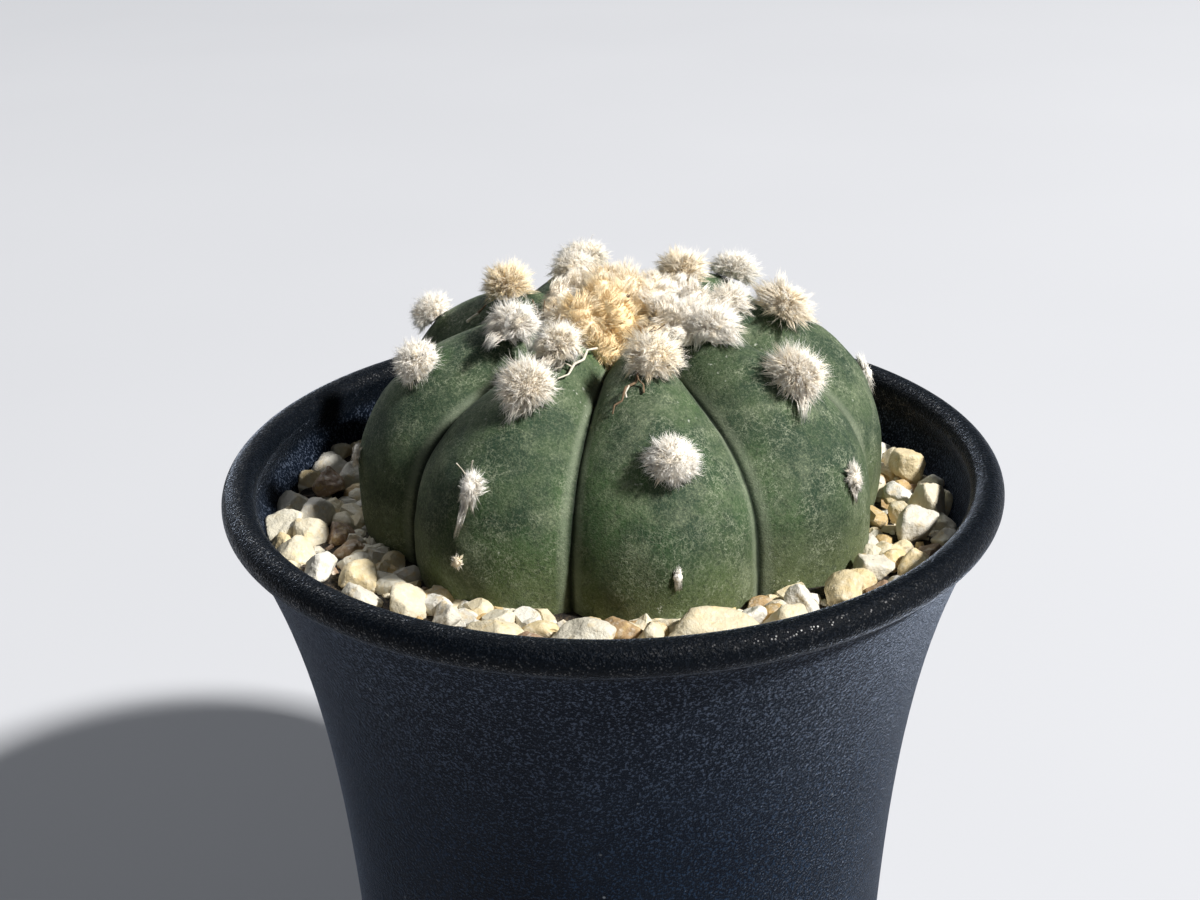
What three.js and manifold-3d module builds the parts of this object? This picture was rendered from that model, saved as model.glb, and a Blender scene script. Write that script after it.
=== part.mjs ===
// Star cactus in a flared nursery pot with a top dressing of crushed stone.
// Millimetres, +Z up. The origin is the centre of the pot's foot, on the ground.
// Angles are in degrees, measured from +X towards +Y; the front of the plant faces -Y.
import * as THREE from "three";
import { ConvexGeometry } from "three/addons/geometries/ConvexGeometry.js";
import { mergeVertices } from "three/addons/utils/BufferGeometryUtils.js";
import Module from "manifold-3d";

// ---------------------------------------------------------------- driving dimensions

// Pot: a thin moulded wall that flares to a rolled lip.
const POT_HEIGHT = 80;
const RIM_RADIUS = 45;
const LIP_SECTION_RADIUS = 1.9;
const LIP_Z = POT_HEIGHT - LIP_SECTION_RADIUS;
const LIP_CENTRE_RADIUS = RIM_RADIUS - LIP_SECTION_RADIUS;
const LIP_SKIRT_DROP = 2.0;
const LIP_SKIRT_ANGLE = -60;
const LIP_STEPS = 8;
const WALL_TOP_Z = LIP_Z - LIP_SKIRT_DROP;
const WALL_WAIST_RADIUS = 32.4;
const WALL_FLARE = 10.75;
const WALL_FLARE_LENGTH = 24.7;
const WALL_THICKNESS = 1.4;
const WALL_LEVELS = [0, 20, 36, 50, 60, 67, 72, WALL_TOP_Z];
const FOOT_HEIGHT = 1.8;
const FOOT_WIDTH = 2.4;
const BASE_THICKNESS = 1.6;
const BASE_TOP_Z = FOOT_HEIGHT + BASE_THICKNESS;
const DRAIN_COUNT = 8;
const DRAIN_RADIUS = 2.5;
const DRAIN_CIRCLE_RADIUS = 21;
const DRAIN_SIDES = 12;
const POT_SEGMENTS = 56;

// Clearance left between pieces that lie against each other.
const CLEARANCE = 0.3;

// Soil and the bed of the stones, as heights below the lip's centre.
const SOIL_TOP_Z = LIP_Z - 13.3;
const BED_BOTTOM_Z = SOIL_TOP_Z + CLEARANCE;
const BED_DEPTH_FRONT = 5.2;
const BED_DEPTH_BACK = 7.2;

// Cactus body: a depressed globe with a hollow crown, on an axis a little off the pot's own.
const BODY_X = 1.4;
const BODY_Y = 1.9;
const EQUATOR_Z = LIP_Z - 1.6;
const EQUATOR_RADIUS = 31.1;
const CROWN_RISE = 21.8;
const BELLY_DROP = 17;
const ROUNDNESS = 2.45;
const CROWN_HOLLOW_DEPTH = 7;
const CROWN_HOLLOW_RADIUS = 7.6;
const LEAN_TO_FRONT = 0.05;
const ROOT = [
  [4.6, -22],
  [3.2, -31],
];
const ROOT_TIP_DROP = -33;
const HOLE_SEGMENTS = 36;
const HOLE_TOP_ANGLE = 60;

// Grooves: depth along the surface normal, deepest on the shoulder.
const GROOVE_DEPTH = 3.3;
const GROOVE_SHOULDER_DEPTH = 1.2;
const GROOVE_SHOULDER_ANGLE = 27;
const GROOVE_FADE_ANGLE = 9;
const ROOT_FADE_ANGLE = 30;
const RIB_FLATNESS = 1.75;
const RIB_CREST = 0.86;
const NORMAL_STEP = 0.1;

// Ribs in order round the body: where each begins, and its areoles as
// [azimuth, angle down from the crown, tuft radius].
const RIBS = [
  { name: "b", start: -147,
    areoles: [[-121.6, 21, 2.7], [-119.6, 35.6, 3.1], [-123.7, 64.5, 1.8], [-124.5, 84, 1.1]] },
  { name: "a", start: -102.3,
    areoles: [[-78.2, 24.5, 3.0], [-79.7, 53.7, 3.2], [-80.7, 82.6, 1.2]] },
  { name: "h", start: -60,
    areoles: [[-37, 18.5, 2.9], [-35.8, 41.5, 3.2], [-36.6, 72.4, 1.6]] },
  { name: "g", start: -14,
    areoles: [[0, 18, 2.8], [5.7, 31.8, 3.0], [15.4, 71.8, 2.0]] },
  { name: "f", start: 36,
    areoles: [[52.5, 17.5, 2.9], [52, 40, 3.0], [57, 67, 1.8]] },
  { name: "e", start: 80,
    areoles: [[118, 17.5, 2.8], [103.8, 32, 3.0], [104, 61, 2.0], [104, 82, 1.2]] },
  { name: "d", start: 128,
    areoles: [[155.6, 23, 2.9], [152, 51, 2.8], [147, 78, 1.4]] },
  { name: "c", start: 166,
    areoles: [[-155.9, 20.5, 2.8], [-163.8, 44.5, 3.1], [-169.4, 78.6, 1.5]] },
];
const RIB_STEPS = [-1, -0.93, -0.72, -0.36, 0, 0.36, 0.72, 0.93];
const BODY_ANGLES = [
  3, 6, 9.5, 13.5, 18, 23, 29, 36, 44, 53, 62, 71, 80, 89, 98, 108, 118, 128, 139, 150, 162, 172,
];

// Wool: how high a tuft stands for its radius, and how much of it is the solid core.
const TUFT_HEIGHT = 0.85;
const TUFT_CORE = 0.72;
const TUFT_LOCK = 0.32;
const TUFT_LOCK_RANGE = [0.6, 1.4];
const TUFT_LOCK_CENTRE = 0.2;
const TUFT_LOCK_LOWEST = 0.1;
const TUFT_SEED = 7;
const TUFT_SIDES = 8;
const TUFT_RINGS = [
  [0.86, 0, 0],
  [1, 0.42, 0.5],
  [0.68, 0.82, 0],
];
const CROWN_WOOL_SIZE = [6.8, 7.4, 8.2];
const CROWN_WOOL_CENTRE = [-1, 0.4, LIP_Z + 13.8];
const CROWN_LOCK = 0.16;
const CROWN_LOCK_RANGE = [0.4, 1.6];
const CROWN_CLEARANCE = CLEARANCE + 0.1;
const CROWN_SEED = 19;

// Stones laid by hand, where the front and sides show them:
// [azimuth, distance from the pot's axis, depth below the lip, length, width, height].
const LAID_STONES = [
  [170, 35, 4.2, 4.4, 4.0, 4.0],
  [-176.5, 34.8, 4.6, 5.4, 4.2, 4.0],
  [-169.5, 35.4, 5.0, 5.2, 4.2, 4.0],
  [-154.7, 36, 4.2, 5.4, 4.4, 3.6],
  [-161, 31.6, 5.6, 5.6, 3.6, 3.4],
  [-147.5, 33, 4.7, 5.8, 4.6, 3.8],
  [-140.5, 35, 4.6, 5.2, 4.0, 3.8],
  [-141, 30.6, 5.2, 4.6, 3.6, 3.6],
  [-132.5, 32.6, 4.6, 5.8, 4.6, 4.2],
  [-124.5, 36, 5.2, 4.0, 3.4, 2.8],
  [-122.8, 31.8, 4.7, 3.4, 4.2, 4.2],
  [-111.5, 33.4, 4.3, 6.4, 4.8, 3.4],
  [-117, 30.6, 5.8, 4.0, 3.4, 3.4],
  [-104.2, 34.4, 4.2, 3.4, 3.2, 2.6],
  [-95.8, 33.4, 3.6, 7.2, 5.2, 4.0],
  [-83.8, 32.6, 3.7, 3.0, 4.0, 4.4],
  [-73, 34, 3.4, 10.2, 6.4, 5.2],
  [-59.8, 34.4, 4.1, 5.4, 4.6, 4.0],
  [-53, 32.9, 4.1, 4.2, 4.4, 4.4],
  [-44.2, 34, 3.8, 5.6, 4.6, 4.2],
  [-35, 37.2, 5.0, 4.4, 3.2, 3.0],
  [-32.6, 33.6, 4.2, 4.6, 4.4, 4.2],
  [-23.2, 32.6, 5.0, 3.8, 3.2, 3.0],
  [-21.6, 37.4, 5.0, 4.2, 3.6, 3.2],
  [-14.5, 35.2, 4.1, 5.4, 4.2, 4.8],
  [-6.4, 33.6, 5.0, 3.2, 3.0, 3.4],
  [-3, 36.9, 4.0, 5.8, 4.4, 5.0],
  [7.4, 35.2, 5.8, 3.4, 3.0, 3.0],
  [12.6, 36.9, 4.2, 4.8, 4.4, 4.4],
];

// The rest of the stones are drawn by a seeded rule, the largest first.
const STONE_SEED = 41;
const STONE_SIZES = [6.4, 5.6, 4.8, 4, 3.4];
const STONE_TRIES = 900;
const STONE_EDGE_ROOM = 0.3;
const STONE_SPACING = 0.78;
const STONE_WIDTH = 0.82;
const STONE_FLATNESS = 0.8;
const STONE_SINK_RANGE = [0.1, 0.45];
const STONE_ROOT = 1.6;
const STONE_POINTS = 10;
const STONE_TWIST = 2.4;
const STONE_TWIST_SPREAD = 0.9;
const STONE_BULGE_RANGE = [0.88, 1.12];
const STONE_TILT_SPREAD = 0.5;
const STONE_TURN_SPREAD = 0.7;
const DRESSING_DEPTH_FRONT = 3.6;
const DRESSING_DEPTH_BACK = 5.6;

// Finishes.
const PLASTIC = { color: 0x23262e, roughness: 0.6 };
const POTTING_MIX = { color: 0x2e241c, roughness: 1 };
const STONE = { color: 0xeadfc4, roughness: 0.8 };
const SKIN = { color: 0x3e5040, roughness: 0.7 };
const GOLDEN_WOOL = { color: 0xf0cf9a, roughness: 0.95 };
const CREAM_WOOL = { color: 0xe8e0d0, roughness: 0.95 };

const MERGE_DISTANCE = 1e-4;

// ---------------------------------------------------------------- helpers

const wasm = await Module();
wasm.setup();

const radians = (degrees) => (degrees * Math.PI) / 180;

// A repeatable stream of numbers from 0 to 1.
function seededRandom(seed) {
  const multiplier = 16807;
  const modulus = 2147483647;
  let state = seed;
  return () => {
    state = (state * multiplier) % modulus;
    return state / modulus;
  };
}

const between = ([low, high], share) => low + (high - low) * share;

function toSolid(geometry) {
  const bare = new THREE.BufferGeometry();
  const source = geometry.index ? geometry.toNonIndexed() : geometry;
  bare.setAttribute("position", source.getAttribute("position"));
  const merged = mergeVertices(bare, MERGE_DISTANCE);
  return new wasm.Manifold(
    new wasm.Mesh({
      numProp: 3,
      vertProperties: new Float32Array(merged.attributes.position.array),
      triVerts: new Uint32Array(merged.index.array),
    }),
  );
}

function fromSolid(solid) {
  const mesh = solid.getMesh();
  const geometry = new THREE.BufferGeometry();
  geometry.setAttribute("position", new THREE.BufferAttribute(new Float32Array(mesh.vertProperties), 3));
  geometry.setIndex(new THREE.BufferAttribute(new Uint32Array(mesh.triVerts), 1));
  return geometry;
}

function fromTriangles(corners) {
  const geometry = new THREE.BufferGeometry();
  geometry.setFromPoints(corners);
  return geometry;
}

// Turns an [r, z] profile, which runs from the axis outwards and upwards, round +Z.
function turned(profile, segments) {
  const points = profile.map(([radius, z]) => new THREE.Vector2(radius, z));
  return new THREE.LatheGeometry(points, segments).rotateX(Math.PI / 2);
}

// Raises every point by a share of its y.
function shearedAlongY(slope) {
  return new THREE.Matrix4().makeShear(0, 0, 0, slope, 0, 0);
}

function arc(centreRadius, centreZ, radius, from, to, steps) {
  return Array.from({ length: steps + 1 }, (_, step) => {
    const angle = radians(from + ((to - from) * step) / steps);
    return [centreRadius + radius * Math.cos(angle), centreZ + radius * Math.sin(angle)];
  });
}

function piece(name, geometry, finish) {
  geometry.computeVertexNormals();
  const material = new THREE.MeshStandardMaterial({ ...finish, metalness: 0, flatShading: true });
  const mesh = new THREE.Mesh(geometry, material);
  mesh.name = name;
  return mesh;
}

// ---------------------------------------------------------------- pot, soil

function wallRadius(z) {
  return WALL_WAIST_RADIUS + WALL_FLARE * Math.exp((z - WALL_TOP_Z) / WALL_FLARE_LENGTH);
}

// The wall is straight between its levels, so whatever fills the pot follows the same chords.
function innerRadius(z) {
  const index = Math.max(1, WALL_LEVELS.findIndex((level) => level >= z));
  const [low, high] = [WALL_LEVELS[index - 1], WALL_LEVELS[index]];
  const share = (z - low) / (high - low);
  return wallRadius(low) * (1 - share) + wallRadius(high) * share - WALL_THICKNESS;
}

function makePot() {
  const footRadius = wallRadius(0);
  const outside = WALL_LEVELS.map((z) => [wallRadius(z), z]);
  const inside = WALL_LEVELS.filter((z) => z > BASE_TOP_Z).map((z) => [innerRadius(z), z]);
  const profile = [
    [0, FOOT_HEIGHT],
    [footRadius - FOOT_WIDTH, FOOT_HEIGHT],
    [footRadius - FOOT_WIDTH, 0],
    ...outside,
    [LIP_CENTRE_RADIUS + LIP_SECTION_RADIUS * Math.cos(radians(LIP_SKIRT_ANGLE)), WALL_TOP_Z],
    ...arc(LIP_CENTRE_RADIUS, LIP_Z, LIP_SECTION_RADIUS, LIP_SKIRT_ANGLE, 180, LIP_STEPS),
    ...inside.reverse(),
    [innerRadius(BASE_TOP_Z), BASE_TOP_Z],
    [0, BASE_TOP_Z],
  ];
  let pot = toSolid(turned(profile, POT_SEGMENTS));
  for (let i = 0; i < DRAIN_COUNT; i++) {
    const angle = (2 * Math.PI * (i + 0.5)) / DRAIN_COUNT;
    const drain = new THREE.CylinderGeometry(DRAIN_RADIUS, DRAIN_RADIUS, 2 * BASE_TOP_Z, DRAIN_SIDES)
      .rotateX(Math.PI / 2)
      .translate(DRAIN_CIRCLE_RADIUS * Math.cos(angle), DRAIN_CIRCLE_RADIUS * Math.sin(angle), FOOT_HEIGHT);
    pot = pot.subtract(toSolid(drain));
  }
  return piece("pot", fromSolid(pot), PLASTIC);
}

// The space inside the pot from one height to another, clear of its wall.
function potFilling(bottomZ, topZ) {
  const levels = [bottomZ, ...WALL_LEVELS.filter((z) => z > bottomZ && z < topZ), topZ];
  const side = levels.map((z) => [innerRadius(z) - CLEARANCE, z]);
  return turned([[0, bottomZ], ...side, [0, topZ]], POT_SEGMENTS);
}

// ---------------------------------------------------------------- cactus body

// The rib crest's distance from the body's axis and its height, at an angle down from the crown.
function crest(polar) {
  const angle = radians(polar);
  const radius = EQUATOR_RADIUS * Math.sin(angle) ** (2 / ROUNDNESS);
  const lift = Math.abs(Math.cos(angle)) ** (2 / ROUNDNESS);
  if (polar > 90) return [radius, EQUATOR_Z - BELLY_DROP * lift];
  const hollow = CROWN_HOLLOW_DEPTH * Math.exp(-((radius / CROWN_HOLLOW_RADIUS) ** 2));
  return [radius, EQUATOR_Z + CROWN_RISE * lift - hollow];
}

function grooveDepth(polar) {
  const shoulder = Math.exp(-(((polar - GROOVE_SHOULDER_ANGLE) / GROOVE_SHOULDER_ANGLE) ** 2));
  const crownFade = 1 - Math.exp(-((polar / GROOVE_FADE_ANGLE) ** 2));
  const rootFade = Math.min(1, (BODY_ANGLES.at(-1) - polar) / ROOT_FADE_ANGLE);
  return (GROOVE_DEPTH + GROOVE_SHOULDER_DEPTH * shoulder) * crownFade * rootFade;
}

// How full the rib is across its width, from 0 at the grooves to 1 on the crest.
const ribFullness = (across) => (1 - Math.abs(across) ** RIB_FLATNESS) ** RIB_CREST;

// Unit outward normal of the crest line in its [radius, z] plane.
function crestNormal(polar) {
  const [r0, z0] = crest(polar - NORMAL_STEP);
  const [r1, z1] = crest(polar + NORMAL_STEP);
  const length = Math.hypot(r1 - r0, z1 - z0);
  return [(z0 - z1) / length, (r1 - r0) / length];
}

// The plant leans slightly to the front, as a shear about the body's axis.
function onBody(azimuth, radius, z) {
  const angle = radians(azimuth);
  const forward = radius * Math.sin(angle);
  return new THREE.Vector3(
    BODY_X + radius * Math.cos(angle),
    BODY_Y + forward,
    z + LEAN_TO_FRONT * forward,
  );
}

function bodyPoint(azimuth, polar, fullness, proud) {
  const [radius, z] = crest(polar);
  const [outward, upward] = crestNormal(polar);
  const shift = proud - grooveDepth(polar) * (1 - fullness);
  return onBody(azimuth, radius + outward * shift, z + upward * shift);
}

// Columns of the body's surface round the axis, each with its azimuth and rib fullness.
function bodyColumns() {
  return RIBS.flatMap((rib, index) => {
    const end = index + 1 < RIBS.length ? RIBS[index + 1].start : RIBS[0].start + 360;
    return RIB_STEPS.map((across) => ({
      azimuth: (rib.start + end) / 2 + ((end - rib.start) / 2) * across,
      fullness: ribFullness(across),
    }));
  });
}

// The ribbed body with its root, all of it standing proud of the real surface by a margin.
function bodyGeometry(proud) {
  const columns = bodyColumns();
  const rings = [
    ...BODY_ANGLES.map((polar) => columns.map((c) => bodyPoint(c.azimuth, polar, c.fullness, proud))),
    ...ROOT.map(([radius, drop]) => columns.map((c) => onBody(c.azimuth, radius + proud, LIP_Z + drop))),
  ];
  const top = onBody(0, 0, crest(0)[1] + proud);
  const tip = onBody(0, 0, LIP_Z + ROOT_TIP_DROP - proud);
  const corners = [];
  columns.forEach((_, i) => {
    const j = (i + 1) % columns.length;
    corners.push(top, rings[0][i], rings[0][j]);
    for (let k = 0; k + 1 < rings.length; k++) {
      corners.push(rings[k][i], rings[k + 1][i], rings[k + 1][j]);
      corners.push(rings[k][i], rings[k + 1][j], rings[k][j]);
    }
    corners.push(rings.at(-1)[i], tip, rings.at(-1)[j]);
  });
  return fromTriangles(corners);
}

// The round hole that the body and its root sit in, clear of every rib.
function bodyHole() {
  const margin = 2 * CLEARANCE;
  const belly = BODY_ANGLES.filter((polar) => polar > HOLE_TOP_ANGLE).map((polar) => {
    const [radius, z] = crest(polar);
    const [outward, upward] = crestNormal(polar);
    return [radius + outward * margin, z + upward * margin];
  });
  const profile = [
    [0, LIP_Z + ROOT_TIP_DROP - margin],
    ...ROOT.map(([radius, drop]) => [radius + margin, LIP_Z + drop - margin]).reverse(),
    ...belly.reverse(),
  ];
  profile.push([0, profile.at(-1)[1]]);
  const leaning = turned(profile, HOLE_SEGMENTS).applyMatrix4(shearedAlongY(LEAN_TO_FRONT));
  return toSolid(leaning.translate(BODY_X, BODY_Y, 0));
}

// ---------------------------------------------------------------- wool

// Draws a three-sided lock of wool out of every face, away from a centre inside the core.
function withLocks(faces, centre, reach, lowestZ) {
  return faces.flatMap(([a, b, c]) => {
    const tip = new THREE.Vector3().add(a).add(b).add(c).divideScalar(3);
    const out = tip.clone().sub(centre).normalize();
    tip.addScaledVector(out, reach());
    tip.z = Math.max(tip.z, lowestZ);
    return [a, b, tip, b, c, tip, c, a, tip];
  });
}

// A tuft stands on its own XY plane: a small domed core with locks all over it.
function tuftGeometry(radius, random) {
  const height = radius * TUFT_HEIGHT;
  const rings = TUFT_RINGS.map(([share, level, turn]) =>
    Array.from({ length: TUFT_SIDES }, (_, i) => {
      const angle = (2 * Math.PI * (i + turn)) / TUFT_SIDES;
      const reach = share * radius * TUFT_CORE;
      return new THREE.Vector3(reach * Math.cos(angle), reach * Math.sin(angle), level * height);
    }),
  );
  const [rim, waist, shoulder] = rings;
  const top = new THREE.Vector3(0, 0, height);
  const foot = new THREE.Vector3(0, 0, 0);
  const dome = [];
  const base = [];
  for (let i = 0; i < TUFT_SIDES; i++) {
    const j = (i + 1) % TUFT_SIDES;
    dome.push([rim[i], rim[j], waist[i]]);
    dome.push([rim[j], waist[j], waist[i]]);
    dome.push([waist[i], waist[j], shoulder[j]]);
    dome.push([waist[i], shoulder[j], shoulder[i]]);
    dome.push([shoulder[i], shoulder[j], top]);
    base.push(rim[j], rim[i], foot);
  }
  const centre = new THREE.Vector3(0, 0, TUFT_LOCK_CENTRE * height);
  const reach = () => radius * TUFT_LOCK * between(TUFT_LOCK_RANGE, random());
  return fromTriangles([...withLocks(dome, centre, reach, TUFT_LOCK_LOWEST * height), ...base]);
}

function makeTufts() {
  const random = seededRandom(TUFT_SEED);
  return RIBS.flatMap((rib) =>
    rib.areoles.map(([azimuth, polar, radius], index) => {
      const tuft = piece(`wool_${rib.name}${index + 1}`, tuftGeometry(radius, random), CREAM_WOOL);
      const [outward, upward] = crestNormal(polar);
      const angle = radians(azimuth);
      const normal = new THREE.Vector3(
        outward * Math.cos(angle),
        outward * Math.sin(angle) - LEAN_TO_FRONT * upward,
        upward,
      ).normalize();
      tuft.position.copy(bodyPoint(azimuth, polar, 1, 0)).addScaledVector(normal, CLEARANCE);
      tuft.quaternion.setFromUnitVectors(new THREE.Vector3(0, 0, 1), normal);
      return tuft;
    }),
  );
}

// The wool of the youngest areoles fills the hollow crown and stands over it.
function makeCrownWool() {
  const random = seededRandom(CROWN_SEED);
  const ball = new THREE.IcosahedronGeometry(1, 1).deleteAttribute("normal").deleteAttribute("uv");
  const core = mergeVertices(ball);
  const at = (index) => new THREE.Vector3().fromBufferAttribute(core.attributes.position, index);
  const faces = [];
  for (let i = 0; i < core.index.count; i += 3) {
    faces.push([0, 1, 2].map((corner) => at(core.index.getX(i + corner))));
  }
  const reach = () => CROWN_LOCK * between(CROWN_LOCK_RANGE, random());
  const mound = fromTriangles(withLocks(faces, new THREE.Vector3(), reach, -1))
    .scale(...CROWN_WOOL_SIZE)
    .translate(BODY_X + CROWN_WOOL_CENTRE[0], BODY_Y + CROWN_WOOL_CENTRE[1], CROWN_WOOL_CENTRE[2]);
  const wool = toSolid(mound).subtract(toSolid(bodyGeometry(CROWN_CLEARANCE)));
  return piece("crown_wool", fromSolid(wool), GOLDEN_WOOL);
}

// ---------------------------------------------------------------- stones

// Distance from the pot's axis to the body's side, along an azimuth.
function bodyEdge(azimuth) {
  const angle = radians(azimuth);
  const along = BODY_X * Math.cos(angle) + BODY_Y * Math.sin(angle);
  const across = BODY_X * Math.sin(angle) - BODY_Y * Math.cos(angle);
  return along + Math.sqrt(EQUATOR_RADIUS ** 2 - across ** 2);
}

function dressingDepth(azimuth) {
  const front = (1 - Math.sin(radians(azimuth))) / 2;
  return DRESSING_DEPTH_BACK + (DRESSING_DEPTH_FRONT - DRESSING_DEPTH_BACK) * front;
}

function stonePlaces() {
  const random = seededRandom(STONE_SEED);
  const place = (azimuth, radius, depth, length, width, height) => ({
    azimuth,
    x: radius * Math.cos(radians(azimuth)),
    y: radius * Math.sin(radians(azimuth)),
    z: LIP_Z - depth,
    size: [length, width, height],
    spread: (length + width) / 4,
  });
  const stones = LAID_STONES.map((row) => place(...row));
  for (const size of STONE_SIZES) {
    for (let attempt = 0; attempt < STONE_TRIES; attempt++) {
      const azimuth = 360 * random();
      const nearest = bodyEdge(azimuth) + STONE_EDGE_ROOM * size;
      const farthest = innerRadius(LIP_Z - DRESSING_DEPTH_BACK) - STONE_EDGE_ROOM * size;
      const radius = nearest + (farthest - nearest) * random();
      const depth = dressingDepth(azimuth) + size * between(STONE_SINK_RANGE, random());
      const stone = place(azimuth, radius, depth, size, STONE_WIDTH * size, STONE_FLATNESS * size);
      const free = stones.every(
        (other) =>
          Math.hypot(other.x - stone.x, other.y - stone.y) > STONE_SPACING * (other.spread + stone.spread),
      );
      if (free) stones.push(stone);
    }
  }
  return stones;
}

// A crushed stone: the hull of a few points scattered on an ellipsoid that is deeper below.
function stoneGeometry(stone, random) {
  const points = Array.from({ length: STONE_POINTS }, (_, i) => {
    const height = 1 - (2 * (i + 0.5)) / STONE_POINTS;
    const turn = STONE_TWIST * i + STONE_TWIST_SPREAD * random();
    const wide = Math.sqrt(1 - height * height);
    const bulge = between(STONE_BULGE_RANGE, random());
    const rise = height < 0 ? STONE_ROOT * height : height;
    return new THREE.Vector3(wide * Math.cos(turn), wide * Math.sin(turn), rise)
      .multiplyScalar(bulge)
      .multiply(new THREE.Vector3(...stone.size).multiplyScalar(0.5));
  });
  const tilt = STONE_TILT_SPREAD * (random() - 0.5);
  return new ConvexGeometry(points)
    .rotateX(tilt)
    .rotateZ(radians(stone.azimuth + 90) + STONE_TURN_SPREAD * (random() - 0.5))
    .translate(stone.x, stone.y, stone.z);
}

function makeGravel() {
  const random = seededRandom(STONE_SEED + 1);
  const room = toSolid(potFilling(BED_BOTTOM_Z, WALL_TOP_Z));
  const bedTop = LIP_Z - (BED_DEPTH_FRONT + BED_DEPTH_BACK) / 2;
  const slope = (BED_DEPTH_FRONT - BED_DEPTH_BACK) / (2 * innerRadius(bedTop));
  // It starts well under the room's floor, so that no corner of it is tilted above the floor.
  const bed = potFilling(BED_BOTTOM_Z - BED_DEPTH_FRONT, bedTop);
  let gravel = toSolid(bed.applyMatrix4(shearedAlongY(slope)));
  for (const stone of stonePlaces()) {
    gravel = gravel.add(toSolid(stoneGeometry(stone, random)));
  }
  const cut = gravel.intersect(room).subtract(bodyHole());
  const [ring] = cut.decompose().sort((a, b) => b.volume() - a.volume());
  return piece("gravel", fromSolid(ring), STONE);
}

function makeSoil() {
  const soil = toSolid(potFilling(BASE_TOP_Z + CLEARANCE, SOIL_TOP_Z)).subtract(bodyHole());
  return piece("soil", fromSolid(soil), POTTING_MIX);
}

// ---------------------------------------------------------------- the potted plant

const pottedCactus = new THREE.Group();
pottedCactus.add(makePot());
pottedCactus.add(makeSoil());
pottedCactus.add(makeGravel());
pottedCactus.add(piece("cactus_body", bodyGeometry(0), SKIN));
pottedCactus.add(makeCrownWool());
pottedCactus.add(...makeTufts());

export default pottedCactus;
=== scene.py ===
# Star cactus in a flared nursery pot with a top dressing of crushed stone.
# Sizes and places are in millimetres and degrees, measured from +X towards +Y; the front faces -Y.
import math

import bpy
import numpy as np
from mathutils import Euler, Matrix, Vector


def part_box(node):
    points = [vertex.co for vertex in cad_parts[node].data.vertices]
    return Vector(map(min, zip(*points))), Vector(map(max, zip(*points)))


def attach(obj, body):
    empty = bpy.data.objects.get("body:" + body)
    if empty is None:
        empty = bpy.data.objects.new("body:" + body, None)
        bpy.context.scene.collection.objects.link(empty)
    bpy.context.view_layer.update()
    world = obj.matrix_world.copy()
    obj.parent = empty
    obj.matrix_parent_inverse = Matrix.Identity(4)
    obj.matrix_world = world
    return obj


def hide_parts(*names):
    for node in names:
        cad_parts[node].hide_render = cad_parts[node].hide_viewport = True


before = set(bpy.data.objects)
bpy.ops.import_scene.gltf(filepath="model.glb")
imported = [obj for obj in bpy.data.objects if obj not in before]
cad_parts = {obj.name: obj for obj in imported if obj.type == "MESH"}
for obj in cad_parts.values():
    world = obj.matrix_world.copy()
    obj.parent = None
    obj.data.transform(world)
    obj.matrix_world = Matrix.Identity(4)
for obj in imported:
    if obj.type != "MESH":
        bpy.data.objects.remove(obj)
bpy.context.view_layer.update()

MM = 0.001

# ------------ driving dimensions

# Pot.
POT_HEIGHT = (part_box("pot")[1].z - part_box("pot")[0].z) / MM
RIM_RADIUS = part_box("pot")[1].x / MM
LIP_SECTION_RADIUS = 1.9
LIP_Z = POT_HEIGHT - LIP_SECTION_RADIUS
LIP_CENTRE_RADIUS = RIM_RADIUS - LIP_SECTION_RADIUS
LIP_SKIRT_ANGLE = -60
WALL_TOP_Z = LIP_Z - 2
WALL_WAIST_RADIUS = 32.4
WALL_FLARE = 10.75
WALL_FLARE_LENGTH = 24.7
WALL_THICKNESS = 1.4
WALL_LEVELS = [0, 20, 36, 50, 60, 67, 72, WALL_TOP_Z]
FOOT_HEIGHT = 1.8
FOOT_WIDTH = 2.4
FOOT_ROUNDING = 0.5
BASE_TOP_Z = FOOT_HEIGHT + 1.6
DRAIN_COUNT = 8
DRAIN_RADIUS = 2.5
DRAIN_CIRCLE_RADIUS = 21
DRAIN_CUT = 8
POT_STEPS = 192
WALL_STEPS = 26

# Cactus body: a depressed globe with a hollow crown, on an axis a little off the pot's own.
BODY_X = 1.4
BODY_Y = 1.9
EQUATOR_Z = LIP_Z - 1.6
EQUATOR_RADIUS = 31.1
CROWN_RISE = 21.8
BELLY_DROP = 17
ROUNDNESS = 2.45
CROWN_HOLLOW_DEPTH = 7
CROWN_HOLLOW_RADIUS = 7.6
LEAN_TO_FRONT = 0.05
LAST_ANGLE = 172
ROOT = [(4.6, -22), (4.2, -25), (3.6, -28), (3.2, -31)]
ROOT_TIP_DROP = -33
GROOVE_DEPTH = 3.3
GROOVE_SHOULDER_DEPTH = 1.2
GROOVE_SHOULDER_ANGLE = 27
GROOVE_FADE_ANGLE = 9
ROOT_FADE_ANGLE = 30
RIB_FLATNESS = 1.75
RIB_CREST = 0.86
RIB_COLUMNS = 22
BODY_RINGS = 84
AREOLE_RISE = 0.35
AREOLE_SPREAD = 2.6

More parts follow.
